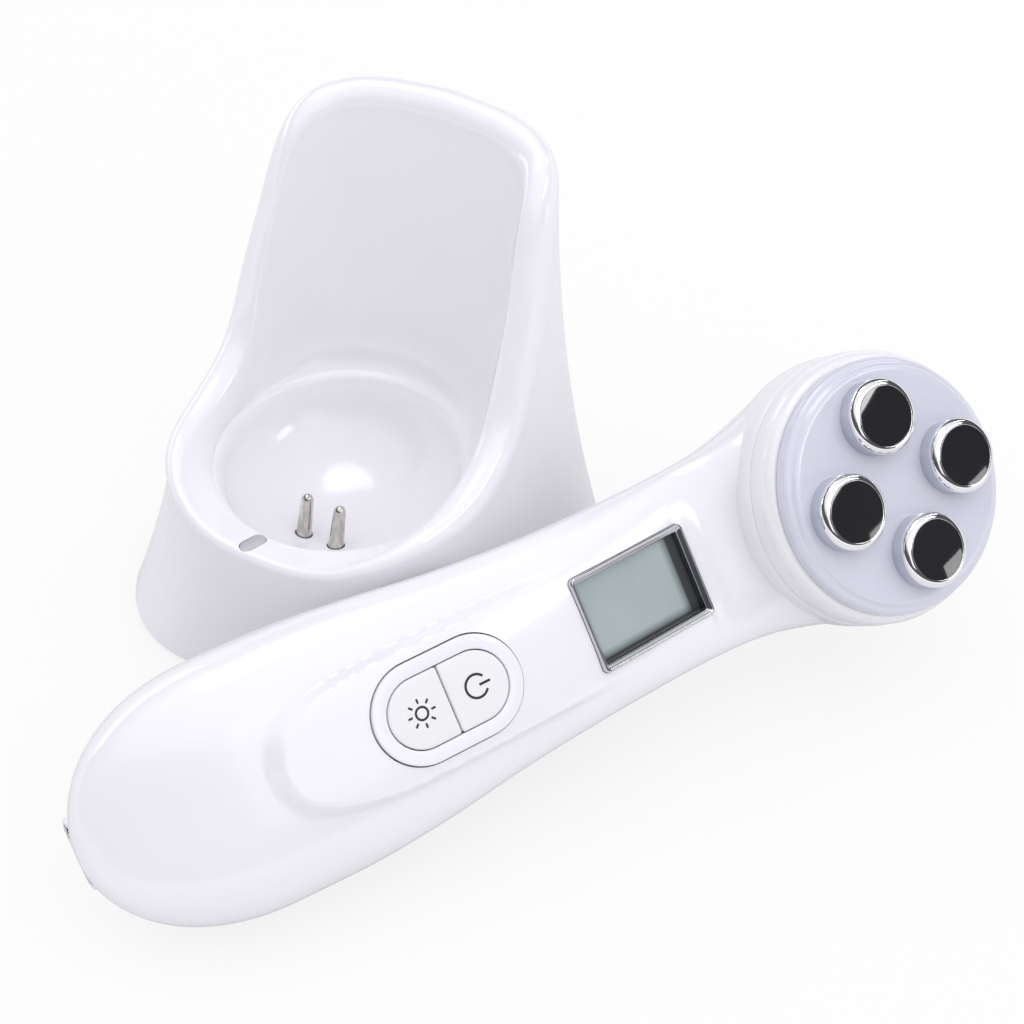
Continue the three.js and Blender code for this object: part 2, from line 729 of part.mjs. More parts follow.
// The handle's section at one place: half width, front, seam and back levels
function section(along, inset, lift) {
  const t = Math.max(0, (NOSE_START - along) / (NOSE_LENGTH - inset));
  const taper = Math.sqrt(Math.max(0, 1 - t ** NOSE_POWER));
  const rise = Math.min(frontLine(along) + neckRise(along), HEAD_RIM - 0.6);
  const front = rise - (TONGUE_LIFT - lift) * tongueFade(along) - inset;
  const seam = seamLevel(along);
  return {
    half: (halfWidth(along) - inset) * taper,
    front: seam + (front - seam) * taper,
    seam,
    back: seam + (backLine(along) + inset - seam) * taper,
  };
}

function sectionRing(along, inset, lift, count) {
  const { half, front, seam, back } = section(along, inset, lift);
  return Array.from({ length: count }, (_, i) => {
    const angle = (2 * Math.PI * i) / count;
    const side = Math.cos(angle);
    const up = Math.sin(angle);
    const power = 2 / (up >= 0 ? FRONT_FULLNESS : BACK_FULLNESS);
    const level = up >= 0 ? front : back;
    return new THREE.Vector3(
      along,
      half * Math.sign(side) * Math.abs(side) ** power,
      seam + (level - seam) * Math.abs(up) ** power,
    );
  });
}

function handleTube(inset, lift, count) {
  const noseEnd = NOSE_START - NOSE_LENGTH + inset;
  const nose = between(0.16, 0.85, 5).map((t) => (
    NOSE_START + (noseEnd - NOSE_START) * Math.cos((Math.PI / 2) * t)
  ));
  const stations = [...nose, ...HANDLE_STATIONS, NECK_END - inset];
  const rings = stations.map((along) => sectionRing(along, inset, lift, count));
  return solid(loft(
    rings,
    new THREE.Vector3(noseEnd, 0, seamLevel(noseEnd)),
    new THREE.Vector3(NECK_END - inset, 0, seamLevel(NECK_END)),
  ));
}

function headCup(inset, top, segments) {
  const radius = HEAD_RADIUS - inset;
  const depth = -HEAD_DOME - inset;
  const dome = between(0, 1, 5).map((t) => [
    radius * Math.sin((Math.PI / 2) * t) ** 0.85,
    -depth * Math.cos((Math.PI / 2) * t) ** 0.85,
  ]);
  dome[0][0] = 0;
  dome[dome.length - 1][1] = 0;
  return solid(turned([...dome, [radius, top], [0, top]], segments).translate(HEAD_CENTRE, 0, 0));
}

// Everything in front of the seam, shifted by an amount along the front's normal
function aboveSeam(shift) {
  const shape = new THREE.Shape();
  const line = between(-126, 92, 17);
  shape.moveTo(line[0], REACH);
  line.forEach((along) => shape.lineTo(along, seamLevel(along) + shift));
  shape.lineTo(line[line.length - 1], REACH);
  const body = new THREE.ExtrudeGeometry(shape, { depth: 2 * REACH, bevelEnabled: false });
  return solid(body.rotateX(Math.PI / 2).translate(0, REACH, 0));
}

function tongueOutline(grow) {
  const shape = new THREE.Shape();
  const tip = TONGUE_TIP_HALF_WIDTH + grow;
  const side = TONGUE_HALF_WIDTH + grow;
  const end = TONGUE_END - grow;
  shape.moveTo(TONGUE_FADE_END, -side);
  shape.lineTo(TONGUE_FADE_END, side);
  shape.lineTo(-55, side);
  shape.bezierCurveTo(-64, side, end + 3, tip + 2.4, end + 1, 4.5);
  shape.bezierCurveTo(end - 0.4, 1.5, end - 0.4, -1.5, end + 1, -4.5);
  shape.bezierCurveTo(end + 3, -tip - 2.4, -64, -side, -55, -side);
  shape.lineTo(TONGUE_FADE_END, -side);
  return shape;
}

function addTongue(cover) {
  const raised = handleTube(0, TONGUE_LIFT, COVER_SIDES);
  const wide = solid(extruded(tongueOutline(TONGUE_BEVEL), -14, REACH, 0, 6));
  const narrow = solid(extruded(tongueOutline(0), -14, REACH, 0, 6));
  const step = handleTube(0, TONGUE_LIFT * 0.45, COVER_SIDES);
  return cover.add(raised.intersect(narrow)).add(step.intersect(wide));
}

const displayTilt = Math.atan(FRONT_SLOPE);
const buttonsTilt = Math.atan(FRONT_SLOPE + FRONT_CURVE * BUTTONS_CENTRE);

// Places a shape made flat about the origin onto the front face at one place
function onFront(geometry, along, tilt) {
  return geometry.rotateY(-tilt).translate(along, 0, frontLine(along));
}

function contactMouth() {
  const share = Math.hypot(PIN_SPACING / 2 / 25.6, (CONTACT_LEVEL - NOSE_POLE) / 17.5);
  return NOSE_START - NOSE_LENGTH * (1 - share * share) ** (1 / NOSE_POWER);
}

function alongAxis(geometry, along, side, level) {
  return geometry.rotateY(Math.PI / 2).translate(along, side, level);
}

function addCovers() {
  const outer = handleTube(0, 0, COVER_SIDES).add(headCup(0, HEAD_RIM, HEAD_SIDES));
  const hollow = handleTube(COVER_WALL, 0, INNER_SIDES)
    .add(headCup(COVER_WALL, HEAD_RIM + 4, INNER_SIDES));
  const skinCore = handleTube(COVER_WALL * 0.6, 0, INNER_SIDES)
    .add(headCup(COVER_WALL * 0.6, HEAD_RIM - 1, INNER_SIDES));
  const above = aboveSeam(SEAM_GAP / 2);
  const below = aboveSeam(-SEAM_GAP / 2);

  let front = addTongue(outer).intersect(above).subtract(hollow);
  const displayHole = extruded(
    roundedRectangle(DISPLAY_LENGTH + 2 * SEAT_GAP, DISPLAY_WIDTH + 2 * SEAT_GAP, DISPLAY_CORNER),
    -6, 6, 0, 3,
  );
  front = front.subtract(solid(onFront(displayHole, 0, displayTilt)));
  const ringHole = extruded(racetrack(RING_HALF_STRAIGHT, RING_RADIUS + SEAT_GAP), -6, 6, 0, 8);
  front = front.subtract(solid(onFront(ringHole, BUTTONS_CENTRE, buttonsTilt)));

  let back = outer.subtract(below).subtract(hollow);
  for (const [along, side] of COVER_SCREWS) {
    const seam = seamLevel(along);
    const post = column(BOSS_RADIUS, seam + SEAM_GAP, REACH, along, side, 10).intersect(skinCore);
    const boss = column(BOSS_RADIUS, -REACH, seam - SEAM_GAP, along, side, 10).intersect(skinCore);
    const tip = screwTipLevel(along) + 2 * SCREW_GAP;
    const core = column(SCREW_RADIUS + SCREW_GAP, -REACH, tip, along, side, 8);
    const headLevel = screwHeadLevel(along);
    const well = column(SCREW_HEAD_RADIUS + SCREW_GAP, -REACH, headLevel + SCREW_HEAD_HEIGHT, along, side, 10);
    front = front.add(post).subtract(core);
    back = back.add(boss).subtract(core).subtract(well);
  }
  for (const along of [MAIN_BOARD_START + 7, MAIN_BOARD_END - 6]) {
    for (const side of [-8, 8]) {
      const low = MAIN_BOARD_TOP - BOARD_THICKNESS - SEAT_GAP;
      back = back.add(column(2, -REACH, low, along, side, 8).intersect(skinCore));
    }
  }
  for (const along of [CELL_START + 6, CELL_START + CELL_LENGTH - 6]) {
    const rib = block(CELL_RIB, 2 * CELL_RADIUS + 4, REACH, along, 0, CELL_LEVEL - 4 - REACH / 2);
    const room = alongAxis(turned([
      [0, -2], [CELL_RADIUS + SEAT_GAP, -2], [CELL_RADIUS + SEAT_GAP, CELL_LENGTH + 2], [0, CELL_LENGTH + 2],
    ], 16), CELL_START, 0, CELL_LEVEL);
    back = back.add(rib.intersect(skinCore).subtract(solid(room)));
  }
  const mouth = contactMouth();
  const pad = extruded(racetrack(PIN_SPACING / 2, CONTACT_PAD), 0, 6, 0.4, 5)
    .rotateZ(Math.PI / 2).rotateY(Math.PI / 2).translate(mouth - CONTACT_PAD_PROUD, 0, CONTACT_LEVEL);
  back = back.add(solid(pad).subtract(hollow).subtract(below));
  for (const side of [-1, 1]) {
    const hole = turned([
      [0, -REACH], [CONTACT_RADIUS + SEAT_GAP, -REACH], [CONTACT_RADIUS + SEAT_GAP, 9], [0, 9],
    ], 12);
    back = back.subtract(solid(alongAxis(hole, mouth, (side * PIN_SPACING) / 2, CONTACT_LEVEL)));
  }
  add(handset, "front_cover", front, WHITE_GLOSS);
  add(handset, "back_cover", back, WHITE_GLOSS);
}

// A cover screw's head sits in a well, about half way up its boss
function screwHeadLevel(along) {
  return (backLine(along) + seamLevel(along)) / 2 - 1;
}

// Its tip ends short of the front cover's wall
function screwTipLevel(along) {
  const front = frontLine(along) + neckRise(along) - TONGUE_LIFT;
  return Math.min(seamLevel(along) + SCREW_GRIP, front - COVER_WALL * 1.5);
}

function addCoverScrews() {
  COVER_SCREWS.forEach(([along, side], i) => {
    const level = screwHeadLevel(along);
    const length = screwTipLevel(along) - level;
    const shape = screwShape(length).translate(along, side, level + 0.1);
    add(handset, "cover_screw_" + (i + 1), shape, STEEL);
  });
}

// Handset head

function addHead() {
  const low = HEAD_RIM + SEAT_GAP;
  const collar = turned([
    [COLLAR_LEDGE, low], [COLLAR_RADIUS, low], [COLLAR_RADIUS, low + 2.2],
    [COLLAR_RADIUS - 0.35, low + 3.8], [COLLAR_TOP_RADIUS, COLLAR_TOP - 0.5],
    [COLLAR_TOP_RADIUS - 0.6, COLLAR_TOP], [COLLAR_RADIUS - COLLAR_WALL, COLLAR_TOP],
    [COLLAR_RADIUS - COLLAR_WALL, COLLAR_LEDGE_TOP], [COLLAR_LEDGE, COLLAR_LEDGE_TOP],
    [COLLAR_LEDGE, low],
  ], HEAD_SIDES);
  add(handset, "head_collar", collar.translate(HEAD_CENTRE, 0, 0), WHITE_GLOSS);

  const skirt = COLLAR_RADIUS - COLLAR_WALL - SEAT_GAP;
  const boardTopLevel = COLLAR_LEDGE_TOP + SEAT_GAP + LED_BOARD_THICKNESS;
  const shoulder = COLLAR_TOP + SEAT_GAP;
  const cap = turned([
    [0, DISC_FACE], [DISC_FACE_RADIUS - 0.6, DISC_FACE], [DISC_FACE_RADIUS, DISC_FACE - 0.35],
    [DISC_FACE_RADIUS + 0.5, DISC_FACE - 1.1], [DISC_FACE_RADIUS + 1.4, DISC_FACE - 1.6],
    [DISC_RADIUS, DISC_FACE - 2.8], [DISC_RADIUS, shoulder], [skirt, shoulder],
    [skirt, boardTopLevel + SEAT_GAP], [skirt - DISC_WALL, boardTopLevel + SEAT_GAP],
    [skirt - DISC_WALL, DISC_FACE - DISC_WALL - 1.2], [0, DISC_FACE - DISC_WALL - 1.2],
  ], HEAD_SIDES);
  let disc = solid(cap.translate(HEAD_CENTRE, 0, 0));
  eachElectrode((x, y) => {
    const pocket = column(ELECTRODE_RADIUS + SEAT_GAP, DISC_FACE - ELECTRODE_SEAT, REACH, x, y, 20);
    disc = disc.subtract(pocket).subtract(column(STUD_RADIUS + SEAT_GAP, 0, REACH, x, y, 8));
  });
  add(handset, "light_disc", disc, [0xd2d4e0, 0.35]);

  const board = turned([
    [0, COLLAR_LEDGE_TOP + SEAT_GAP], [skirt - 1, COLLAR_LEDGE_TOP + SEAT_GAP],
    [skirt - 1, boardTopLevel], [0, boardTopLevel],
  ], 18);
  let ledBoard = solid(board.translate(HEAD_CENTRE, 0, 0));
  eachElectrode((x, y) => {
    ledBoard = ledBoard.subtract(column(STUD_RADIUS + SEAT_GAP, 0, REACH, x, y, 8));
  });
  add(handset, "led_board", ledBoard, [0xe9eaec, 0.5]);

  for (let i = 0; i < 4; i += 1) {
    const angle = Math.PI / 4 + (i * Math.PI) / 2;
    const led = turned([
      [0, boardTopLevel + SEAT_GAP], [LED_RADIUS, boardTopLevel + SEAT_GAP],
      [LED_RADIUS, boardTopLevel + LED_HEIGHT * 0.6], [LED_RADIUS * 0.6, boardTopLevel + LED_HEIGHT],
      [0, boardTopLevel + LED_HEIGHT + 0.2],
    ], 8);
    led.translate(HEAD_CENTRE + LED_CIRCLE * Math.cos(angle), LED_CIRCLE * Math.sin(angle), 0);
    add(handset, "photon_led_" + (i + 1), led, [0xe8ecf4, 0.2]);
  }
}

function eachElectrode(make) {
  for (let i = 0; i < 4; i += 1) {
    const angle = (i * Math.PI) / 2;
    make(HEAD_CENTRE + ELECTRODE_CIRCLE * Math.cos(angle), ELECTRODE_CIRCLE * Math.sin(angle), i + 1);
  }
}

function addElectrodes() {
  const low = DISC_FACE - ELECTRODE_SEAT + SEAT_GAP;
  const top = DISC_FACE + ELECTRODE_HEIGHT;
  const edge = ELECTRODE_EDGE;
  eachElectrode((x, y, number) => {
    const electrode = turned([
      [0, low - STUD_LENGTH], [STUD_RADIUS, low - STUD_LENGTH], [STUD_RADIUS, low], [ELECTRODE_RADIUS, low],
      [ELECTRODE_RADIUS, top - edge], [ELECTRODE_RADIUS - edge * 0.3, top - edge * 0.3],
      [ELECTRODE_RADIUS - edge, top - 0.1], [0, top + 0.1],
    ], 20);
    add(handset, "electrode_" + number, electrode.translate(x, y, 0), CHROME);
    const nutTop = COLLAR_LEDGE_TOP;
    const nut = turned(ringProfile(STUD_RADIUS + SEAT_GAP, NUT_RADIUS, nutTop - NUT_HEIGHT, nutTop), 6);
    add(handset, "electrode_nut_" + number, nut.translate(x, y, 0), STEEL);
  });
}

// Handset display and buttons

function addDisplay() {
  const outline = roundedRectangle(DISPLAY_LENGTH, DISPLAY_WIDTH, DISPLAY_CORNER);
  const windowLength = DISPLAY_LENGTH - 2 * DISPLAY_BAND;
  const windowWidth = DISPLAY_WIDTH - 2 * DISPLAY_BAND;
  const frameBody = solid(extruded(outline, -DISPLAY_DEPTH, DISPLAY_PROUD, 0.4, 4));
  const opening = extruded(roundedRectangle(windowLength, windowWidth, 0.6), -REACH / 4, REACH / 4, 0, 2);
  const ledge = extruded(
    roundedRectangle(windowLength + 1.2, windowWidth + 1.2, 0.6),
    -REACH / 4, -GLASS_DEPTH, 0, 2,
  );
  const frame = frameBody.subtract(solid(opening)).subtract(solid(ledge));
  const pane = extruded(
    roundedRectangle(windowLength + 1.2 - 2 * SEAT_GAP, windowWidth + 1.2 - 2 * SEAT_GAP, 0.4),
    -GLASS_DEPTH - SEAT_GAP - GLASS_THICKNESS, -GLASS_DEPTH - SEAT_GAP, 0, 2,
  );
  const moduleTop = -DISPLAY_DEPTH - SEAT_GAP;
  const panel = extruded(
    roundedRectangle(windowLength, windowWidth, 0.4),
    moduleTop - MODULE_THICKNESS, moduleTop, 0, 2,
  );
  add(handset, "display_frame", onFront(shapeOf(frame), 0, displayTilt), [0x9b9da3, 0.2, 0.9]);
  add(handset, "display_glass", onFront(pane, 0, displayTilt), [0xa4b0b0, 0.08]);
  add(handset, "display_module", onFront(panel, 0, displayTilt), [0x8f9a96, 0.5]);
}

function addButtons() {
  const inner = RING_RADIUS - RING_BAND;
  const ringBody = solid(extruded(racetrack(RING_HALF_STRAIGHT, RING_RADIUS), -RING_DEPTH, RING_PROUD, 0.3, 8));
  const room = solid(extruded(racetrack(RING_HALF_STRAIGHT, inner), -REACH / 4, REACH / 4, 0, 8));
  const ring = shapeOf(ringBody.subtract(room));
  add(handset, "button_ring", onFront(ring, BUTTONS_CENTRE, buttonsTilt), WHITE_GLOSS);

  const radius = inner - BUTTON_GAP;
  const boardDepth = frontLine(BUTTONS_CENTRE) - MAIN_BOARD_TOP;
  for (const [name, side] of [["power", 1], ["light", -1]]) {
    const cap = extruded(
      halfRacetrack(BUTTON_GAP / 2, RING_HALF_STRAIGHT, radius),
      BUTTON_PROUD - BUTTON_DEPTH, BUTTON_PROUD, 0.25, 8,
    );
    const stemLow = BUTTON_PROUD - BUTTON_DEPTH - STEM_LENGTH;
    const stem = column(STEM_RADIUS, stemLow, 0, STEM_PLACE, 0, 10);
    const turn = side > 0 ? 0 : Math.PI;
    const button = shapeOf(solid(cap).add(stem)).rotateZ(turn);
    add(handset, name + "_button", onFront(button, BUTTONS_CENTRE, buttonsTilt), WHITE_BUTTON);

    const plungerTop = stemLow - BUTTON_TRAVEL - 0.1;
    const low = -boardDepth + SEAT_GAP - side * STEM_PLACE * Math.tan(buttonsTilt) + 0.2;
    const top = plungerTop - PLUNGER_HEIGHT;
    const base = block(SWITCH_SIDE, SWITCH_SIDE, top - low, side * STEM_PLACE, 0, (top + low) / 2);
    const plunger = column(PLUNGER_RADIUS, top - 0.5, plungerTop, side * STEM_PLACE, 0, 10);
    const tact = shapeOf(base.add(plunger));
    add(handset, name + "_switch", onFront(tact, BUTTONS_CENTRE, buttonsTilt), DARK_PLASTIC);
  }
}

function addHandsetInside() {
  const length = MAIN_BOARD_END - MAIN_BOARD_START;
  const middle = (MAIN_BOARD_END + MAIN_BOARD_START) / 2;
  const level = MAIN_BOARD_TOP - BOARD_THICKNESS / 2;
  add(handset, "main_board", block(length, MAIN_BOARD_WIDTH, BOARD_THICKNESS, middle, 0, level), BOARD_GREEN);

  const underside = MAIN_BOARD_TOP - BOARD_THICKNESS - SEAT_GAP;
  const { x, y, z } = TRANSFORMER;
  add(handset, "boost_transformer", block(x, y, z, TRANSFORMER_PLACE, 0, underside - z / 2), DARK_PLASTIC);

  const cell = turned([
    [0, 0], [CELL_RADIUS - 0.6, 0], [CELL_RADIUS, 0.6], [CELL_RADIUS, CELL_LENGTH - 0.6],
    [CELL_RADIUS - 0.6, CELL_LENGTH], [2.8, CELL_LENGTH], [2.8, CELL_LENGTH + 1], [0, CELL_LENGTH + 1],
  ], 16);
  add(handset, "battery_cell", alongAxis(cell, CELL_START, 0, CELL_LEVEL), [0x3f6fa8, 0.4]);

  const mouth = contactMouth();
  for (const [name, side] of [["charge_contact_left", 1], ["charge_contact_right", -1]]) {
    const sleeve = turned([
      [0, CONTACT_LENGTH], [CONTACT_RADIUS, CONTACT_LENGTH], [CONTACT_RADIUS, 0], [CONTACT_BORE, 0],
      [CONTACT_BORE, CONTACT_LENGTH - 1], [0, CONTACT_LENGTH - 1],
    ], 12);
    const place = (side * PIN_SPACING) / 2;
    add(handset, name, alongAxis(sleeve, mouth - CONTACT_PAD_PROUD + 0.2, place, CONTACT_LEVEL), CHROME);
  }
}

addCradleShell();
addCradleBase();
addCradleFasteners();
addCradleElectrics();
addIndicator();
addInlet();

addCovers();
addCoverScrews();
addHead();
addElectrodes();
addDisplay();
addButtons();
addHandsetInside();

// The handset lies along its heading, pitched at the head and rolled towards the viewer
handset.rotation.set(HANDSET_ROLL, -HANDSET_PITCH, HANDSET_HEADING, "ZYX");
handset.position.copy(HANDSET_PLACE);
group.add(handset);

export default group;
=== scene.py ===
import math
import bpy
import numpy as np
from mathutils import Matrix, Vector


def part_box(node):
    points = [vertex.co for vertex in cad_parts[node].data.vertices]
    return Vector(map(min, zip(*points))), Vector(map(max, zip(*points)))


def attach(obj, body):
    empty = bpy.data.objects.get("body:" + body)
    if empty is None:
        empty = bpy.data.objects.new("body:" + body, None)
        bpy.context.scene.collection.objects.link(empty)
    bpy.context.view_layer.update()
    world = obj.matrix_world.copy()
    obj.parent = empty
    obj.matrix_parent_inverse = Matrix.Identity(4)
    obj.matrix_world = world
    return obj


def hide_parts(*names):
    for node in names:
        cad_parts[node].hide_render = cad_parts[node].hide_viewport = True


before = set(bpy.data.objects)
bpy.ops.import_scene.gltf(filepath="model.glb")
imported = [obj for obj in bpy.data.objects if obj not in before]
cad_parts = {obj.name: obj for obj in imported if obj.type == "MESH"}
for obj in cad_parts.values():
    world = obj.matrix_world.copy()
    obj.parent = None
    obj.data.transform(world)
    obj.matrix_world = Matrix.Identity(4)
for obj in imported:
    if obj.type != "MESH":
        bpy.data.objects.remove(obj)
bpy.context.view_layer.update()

# Lengths are in millimetres until a mesh is made
MM = 0.001

# Handset pose beside the cradle, as in the part's source
HANDSET_HEADING = math.radians(61.4)
HANDSET_PITCH = math.radians(0.5)
HANDSET_ROLL = math.radians(47)
HANDSET_PLACE = (72.7, -11.6, 37)

# Cradle
BASE_HALF_WIDTH = 47.5
BASE_FRONT = -43
BASE_BACK = 47.5
BASE_CORNER = 27
RIM_HALF_WIDTH = 35
RIM_FRONT = -41
RIM_BACK = 45.5
RIM_TOP = 103
RIM_FULLNESS = 2.7
RIM_ROUNDING_FRONT = 1.6
RIM_ROUNDING_BACK = 4.8
SHELL_WALL = 2.2
SHELL_BOTTOM = 0.2
SHELF_STEP = 0.4
WALL_FLARE = 2
SIDE_FLARE = 1.3
BOWL_CENTRE = -7.5
BOWL_RADIUS = 26
BOWL_EDGE = 40.5
BOWL_DEPTH = 16.5
BOWL_LIP = 1.4
FACE_FOOT = 6.5
FACE_COVE = 9
PIN_SPACING = 8
PIN_RADIUS = 1.68
PIN_TIP_RADIUS = 1.3
PIN_HEIGHT = 9.7
PIN_SHANK = 6
PIN_LEAN = math.radians(18)
PIN_BACK = -18.3
PIN_HOLE_RADIUS = 1.98
WINDOW_PLACE = (-3.3, -37.5)
WINDOW_LENGTH = 6
WINDOW_RADIUS = 1.5
WINDOW_TURN = math.radians(66)
WINDOW_LIFT = 0.42
INLET_RADIUS = 4.5
INLET_START = 36
INLET_LENGTH = 30

# Points of the cradle's skin: round it, up the wall, over the rim, down the face, in the bowl
CRADLE_SEGMENTS = 320
WALL_STEPS = 44
RIM_OUTER_STEPS = 12
RIM_INNER_STEPS = 10
FACE_STEPS = 54
LIP_STEPS = 7
BOWL_STEPS = 40

# Handset covers
NOSE_START = -85
NOSE_LENGTH = 34.3
NOSE_POWER = 2.2
NOSE_POLE = -23.5
NOSE_HALF_WIDTH = 25.6
NOSE_HALF_DEPTH = 17.5
FRONT_SLOPE = -0.11
FRONT_CURVE = -0.00343
FRONT_FULLNESS = 3
BACK_FULLNESS = 2.1
NECK_END = 60
NECK_UNDER_RIM = 0.6
TONGUE_LIFT = 2.5
TONGUE_SHOULDER = -55
TONGUE_END = -83
TONGUE_END_ZONE = 22
TONGUE_HALF_WIDTH = 13.2
TONGUE_TIP_HALF_WIDTH = 9.5
TONGUE_BEVEL = 1.7
TONGUE_END_BEVEL = 3.2
TONGUE_FADE_START = -38
TONGUE_FADE_END = -6
HEAD_CENTRE = 55.4
HEAD_RADIUS = 29
HEAD_RIM = 6
HEAD_DOME = -17.5
HEAD_DOME_POWER = 0.85
SEAM_GAP = 0.3
CUTTER_ENDS = (-126, 92)
CUTTER_REACH = 60
CONTACT_LEVEL = -28
CONTACT_RADIUS = 2.4
CONTACT_BORE = 1.85
CONTACT_DEPTH = -9
CONTACT_PAD = 3.5
CONTACT_PAD_PROUD = 0.3
CONTACT_PAD_DEPTH = -5.5

# Points of the handset's skin: round it, along the nose, along the tongue's end, along the handle
HANDSET_SEGMENTS = 320
NOSE_STEPS = 90
TONGUE_END_STEPS = 100
HANDLE_STEPS = 280

# Handset fittings
DISPLAY_LENGTH = 30
DISPLAY_WIDTH = 20.4
DISPLAY_CORNER = 1.3
PANEL_INSET = 1.6
PANEL_LEVEL = -1.75
PANEL_THICKNESS = 0.9
CUT_DEPTH = -4
CUT_TOP = 6
BUTTONS_CENTRE = -47.6
BUTTON_TOP = 0.4
BUTTON_FOOT = -2.2
BUTTON_CORNER = 0.5
SIGN_LEVEL = 0.46
SIGN_PLACE = 6.1
POWER_LINE = 0.5
LAMP_LINE = 0.45
RAY_LINE = 0.42
RING_HALF_STRAIGHT = 5.85
RING_RADIUS = 10.15
RING_BAND = 2.9
BUTTON_GAP = 0.24
DIVIDER_GAP = 0.34
RING_GAP = 0.3
DISC_FACE = 16.7
ELECTRODE_CIRCLE = 14.8
ELECTRODE_RADIUS = 7.85
ELECTRODE_HEIGHT = 4.9
ELECTRODE_EDGE = 1.45

# Camera, as solved from the photograph, its clipping in metres
CAMERA_PLACE = (171.3, -266.3, 335.6)
CAMERA_AZIMUTH = math.radians(27)
CAMERA_TILT = math.radians(45)
CAMERA_LENS = 70.3
CAMERA_SHIFT = (0.006, -0.009)
CAMERA_SENSOR = 36
CAMERA_CLIP = (0.01, 20)

# Lamps: name, place, target and size in metres, watts, and for the card its shape and turn
KEY_LAMP = ("key", (0.66, -0.3, 0.98), (0.03, 0, 0.03), (1.2, 1.2), 0.75)
BACK_LAMP = ("back_strip", (0.4, 0.87, 0.75), (0, 0, 0.04), (0.1, 0.5), 0.7)
CARD_LAMP = ("card", (1.23, 0.24, 0.27), (0.1, 0.035, 0.05), (0.2, 0.2), 0.27, "SQUARE", math.radians(80))

# Soft boxes that show only in gloss: name, shape, azimuth, elevation, width, height in metres, brightness
BOX_DISTANCE = 1.15
BOX_TARGET = (0.03, 0, 0.03)
BOXES = [
    ("box_right", "RECTANGLE", -30, 37, 0.5, 0.55, 0.75),
    ("box_left", "RECTANGLE", 168, 17, 1.0, 0.24, 2.6),
    ("box_slit", "RECTANGLE", 12, 38, 0.6, 0.16, 5.0),
    ("box_top", "ELLIPSE", 130, 69, 0.5, 0.68, 2.4),
]

# Floor, which glows a little for the camera alone
FLOOR_LEVEL = -1.0
FLOOR_HALF_SIDE = 3000
FLOOR_COLOUR = (0.74, 0.74, 0.74)
FLOOR_GLOW = 1.04
FLOOR_GLOW_SHARE = 0.75

# World: the sky that lights matt surfaces, from level to straight up, its share from front to back,
# and the tent that gloss mirrors, from level to straight up
SKY = [[0.0, (0.97, 0.957, 1.0)], [1.0, (1.46, 1.44, 1.505)]]
SKY_SHARE = [
    [0.0, (0.58, 0.58, 0.58)], [0.45, (1, 1, 1)], [0.6, (1, 1, 1)], [1.0, (0.45, 0.45, 0.45)],
]
TENT = [
    [0.0, (1, 1, 1)], [0.1, (1, 1, 1)], [0.14, (0.08, 0.08, 0.09)],
    [0.62, (0.08, 0.08, 0.09)], [0.8, (0.82, 0.82, 0.83)],
]
TENT_STRENGTH = 1.15


# Materials

BUMP_DEPTH = 0.0001


class Nodes:
    """A short way to write a node tree."""

    def __init__(self, tree):
        self.tree = tree
        tree.nodes.clear()

    def add(self, kind, sockets=None, **values):
        """A new node, with these values in its sockets and its own values."""
        node = self.tree.nodes.new(kind)
        for key, value in values.items():
            setattr(node, key, value)
        for key, value in (sockets or {}).items():
            node.inputs[key].default_value = value
        return node

    def link(self, source, output, target, socket):
        self.tree.links.new(source.outputs[output], target.inputs[socket])


def principled(name, **sockets):
    """A material with one Principled shader, and its Nodes."""
    material = bpy.data.materials.new(name)
    material.use_nodes = True
    nodes = Nodes(material.node_tree)
    out = nodes.add("ShaderNodeOutputMaterial")
    shader = nodes.add("ShaderNodeBsdfPrincipled")
    nodes.link(shader, "BSDF", out, "Surface")
    for key, value in sockets.items():
        shader.inputs[key.replace("_", " ")].default_value = value
    return material, nodes, shader


def noise(nodes, scale, detail=3, roughness=0.5):
    place = nodes.add("ShaderNodeTexCoord")
    sockets = {"Scale": scale, "Detail": detail, "Roughness": roughness}
    texture = nodes.add("ShaderNodeTexNoise", sockets)
    nodes.link(place, "Object", texture, "Vector")
    return texture


def ramp(nodes, source, output, stops):
    """A colour ramp fed by source, through [position, colour] stops."""
    node = nodes.add("ShaderNodeValToRGB")
    while len(node.color_ramp.elements) < len(stops):
        node.color_ramp.elements.new(0.5)
    for element, (position, colour) in zip(node.color_ramp.elements, stops):
        element.position = position
        element.color = (*colour, 1)
    nodes.link(source, output, node, "Fac")
    return node


def spread(nodes, source, low, high):
    """A number from low to high, by the noise."""
    sockets = {"From Min": 0.3, "From Max": 0.7, "To Min": low, "To Max": high}
    node = nodes.add("ShaderNodeMapRange", sockets)
    nodes.link(source, "Fac", node, "Value")
    return node


def bump(nodes, shader, source, strength):
    """A fine relief of the surface, by a texture."""
    node = nodes.add("ShaderNodeBump", {"Strength": strength, "Distance": BUMP_DEPTH})
    nodes.link(source, "Fac", node, "Height")
    nodes.link(node, "Normal", shader, "Normal")


def uneven(parts, clouds, colours, polish, roughness, grain, relief):
    """Gives a material clouds of two colours, uneven polish and a fine skin, by three noises."""
    material, nodes, shader = parts
    colour = ramp(nodes, noise(nodes, clouds, 4), "Fac", colours)
    nodes.link(colour, "Color", shader, "Base Color")
    shine = spread(nodes, noise(nodes, polish, 5, 0.6), *roughness)
    nodes.link(shine, "Result", shader, "Roughness")
    bump(nodes, shader, noise(nodes, grain, 2), relief)
    return material


def plastic(name, dark, light, rough_low, rough_high, grain=900, relief=0.02, coat=0.0, index=1.5):
    """Moulded plastic."""
    parts = principled(name, IOR=index, Coat_Weight=coat, Coat_Roughness=0.045)
    colours = [[0.35, dark], [0.65, light]]
    return uneven(parts, 18, colours, 60, (rough_low, rough_high), grain, relief)


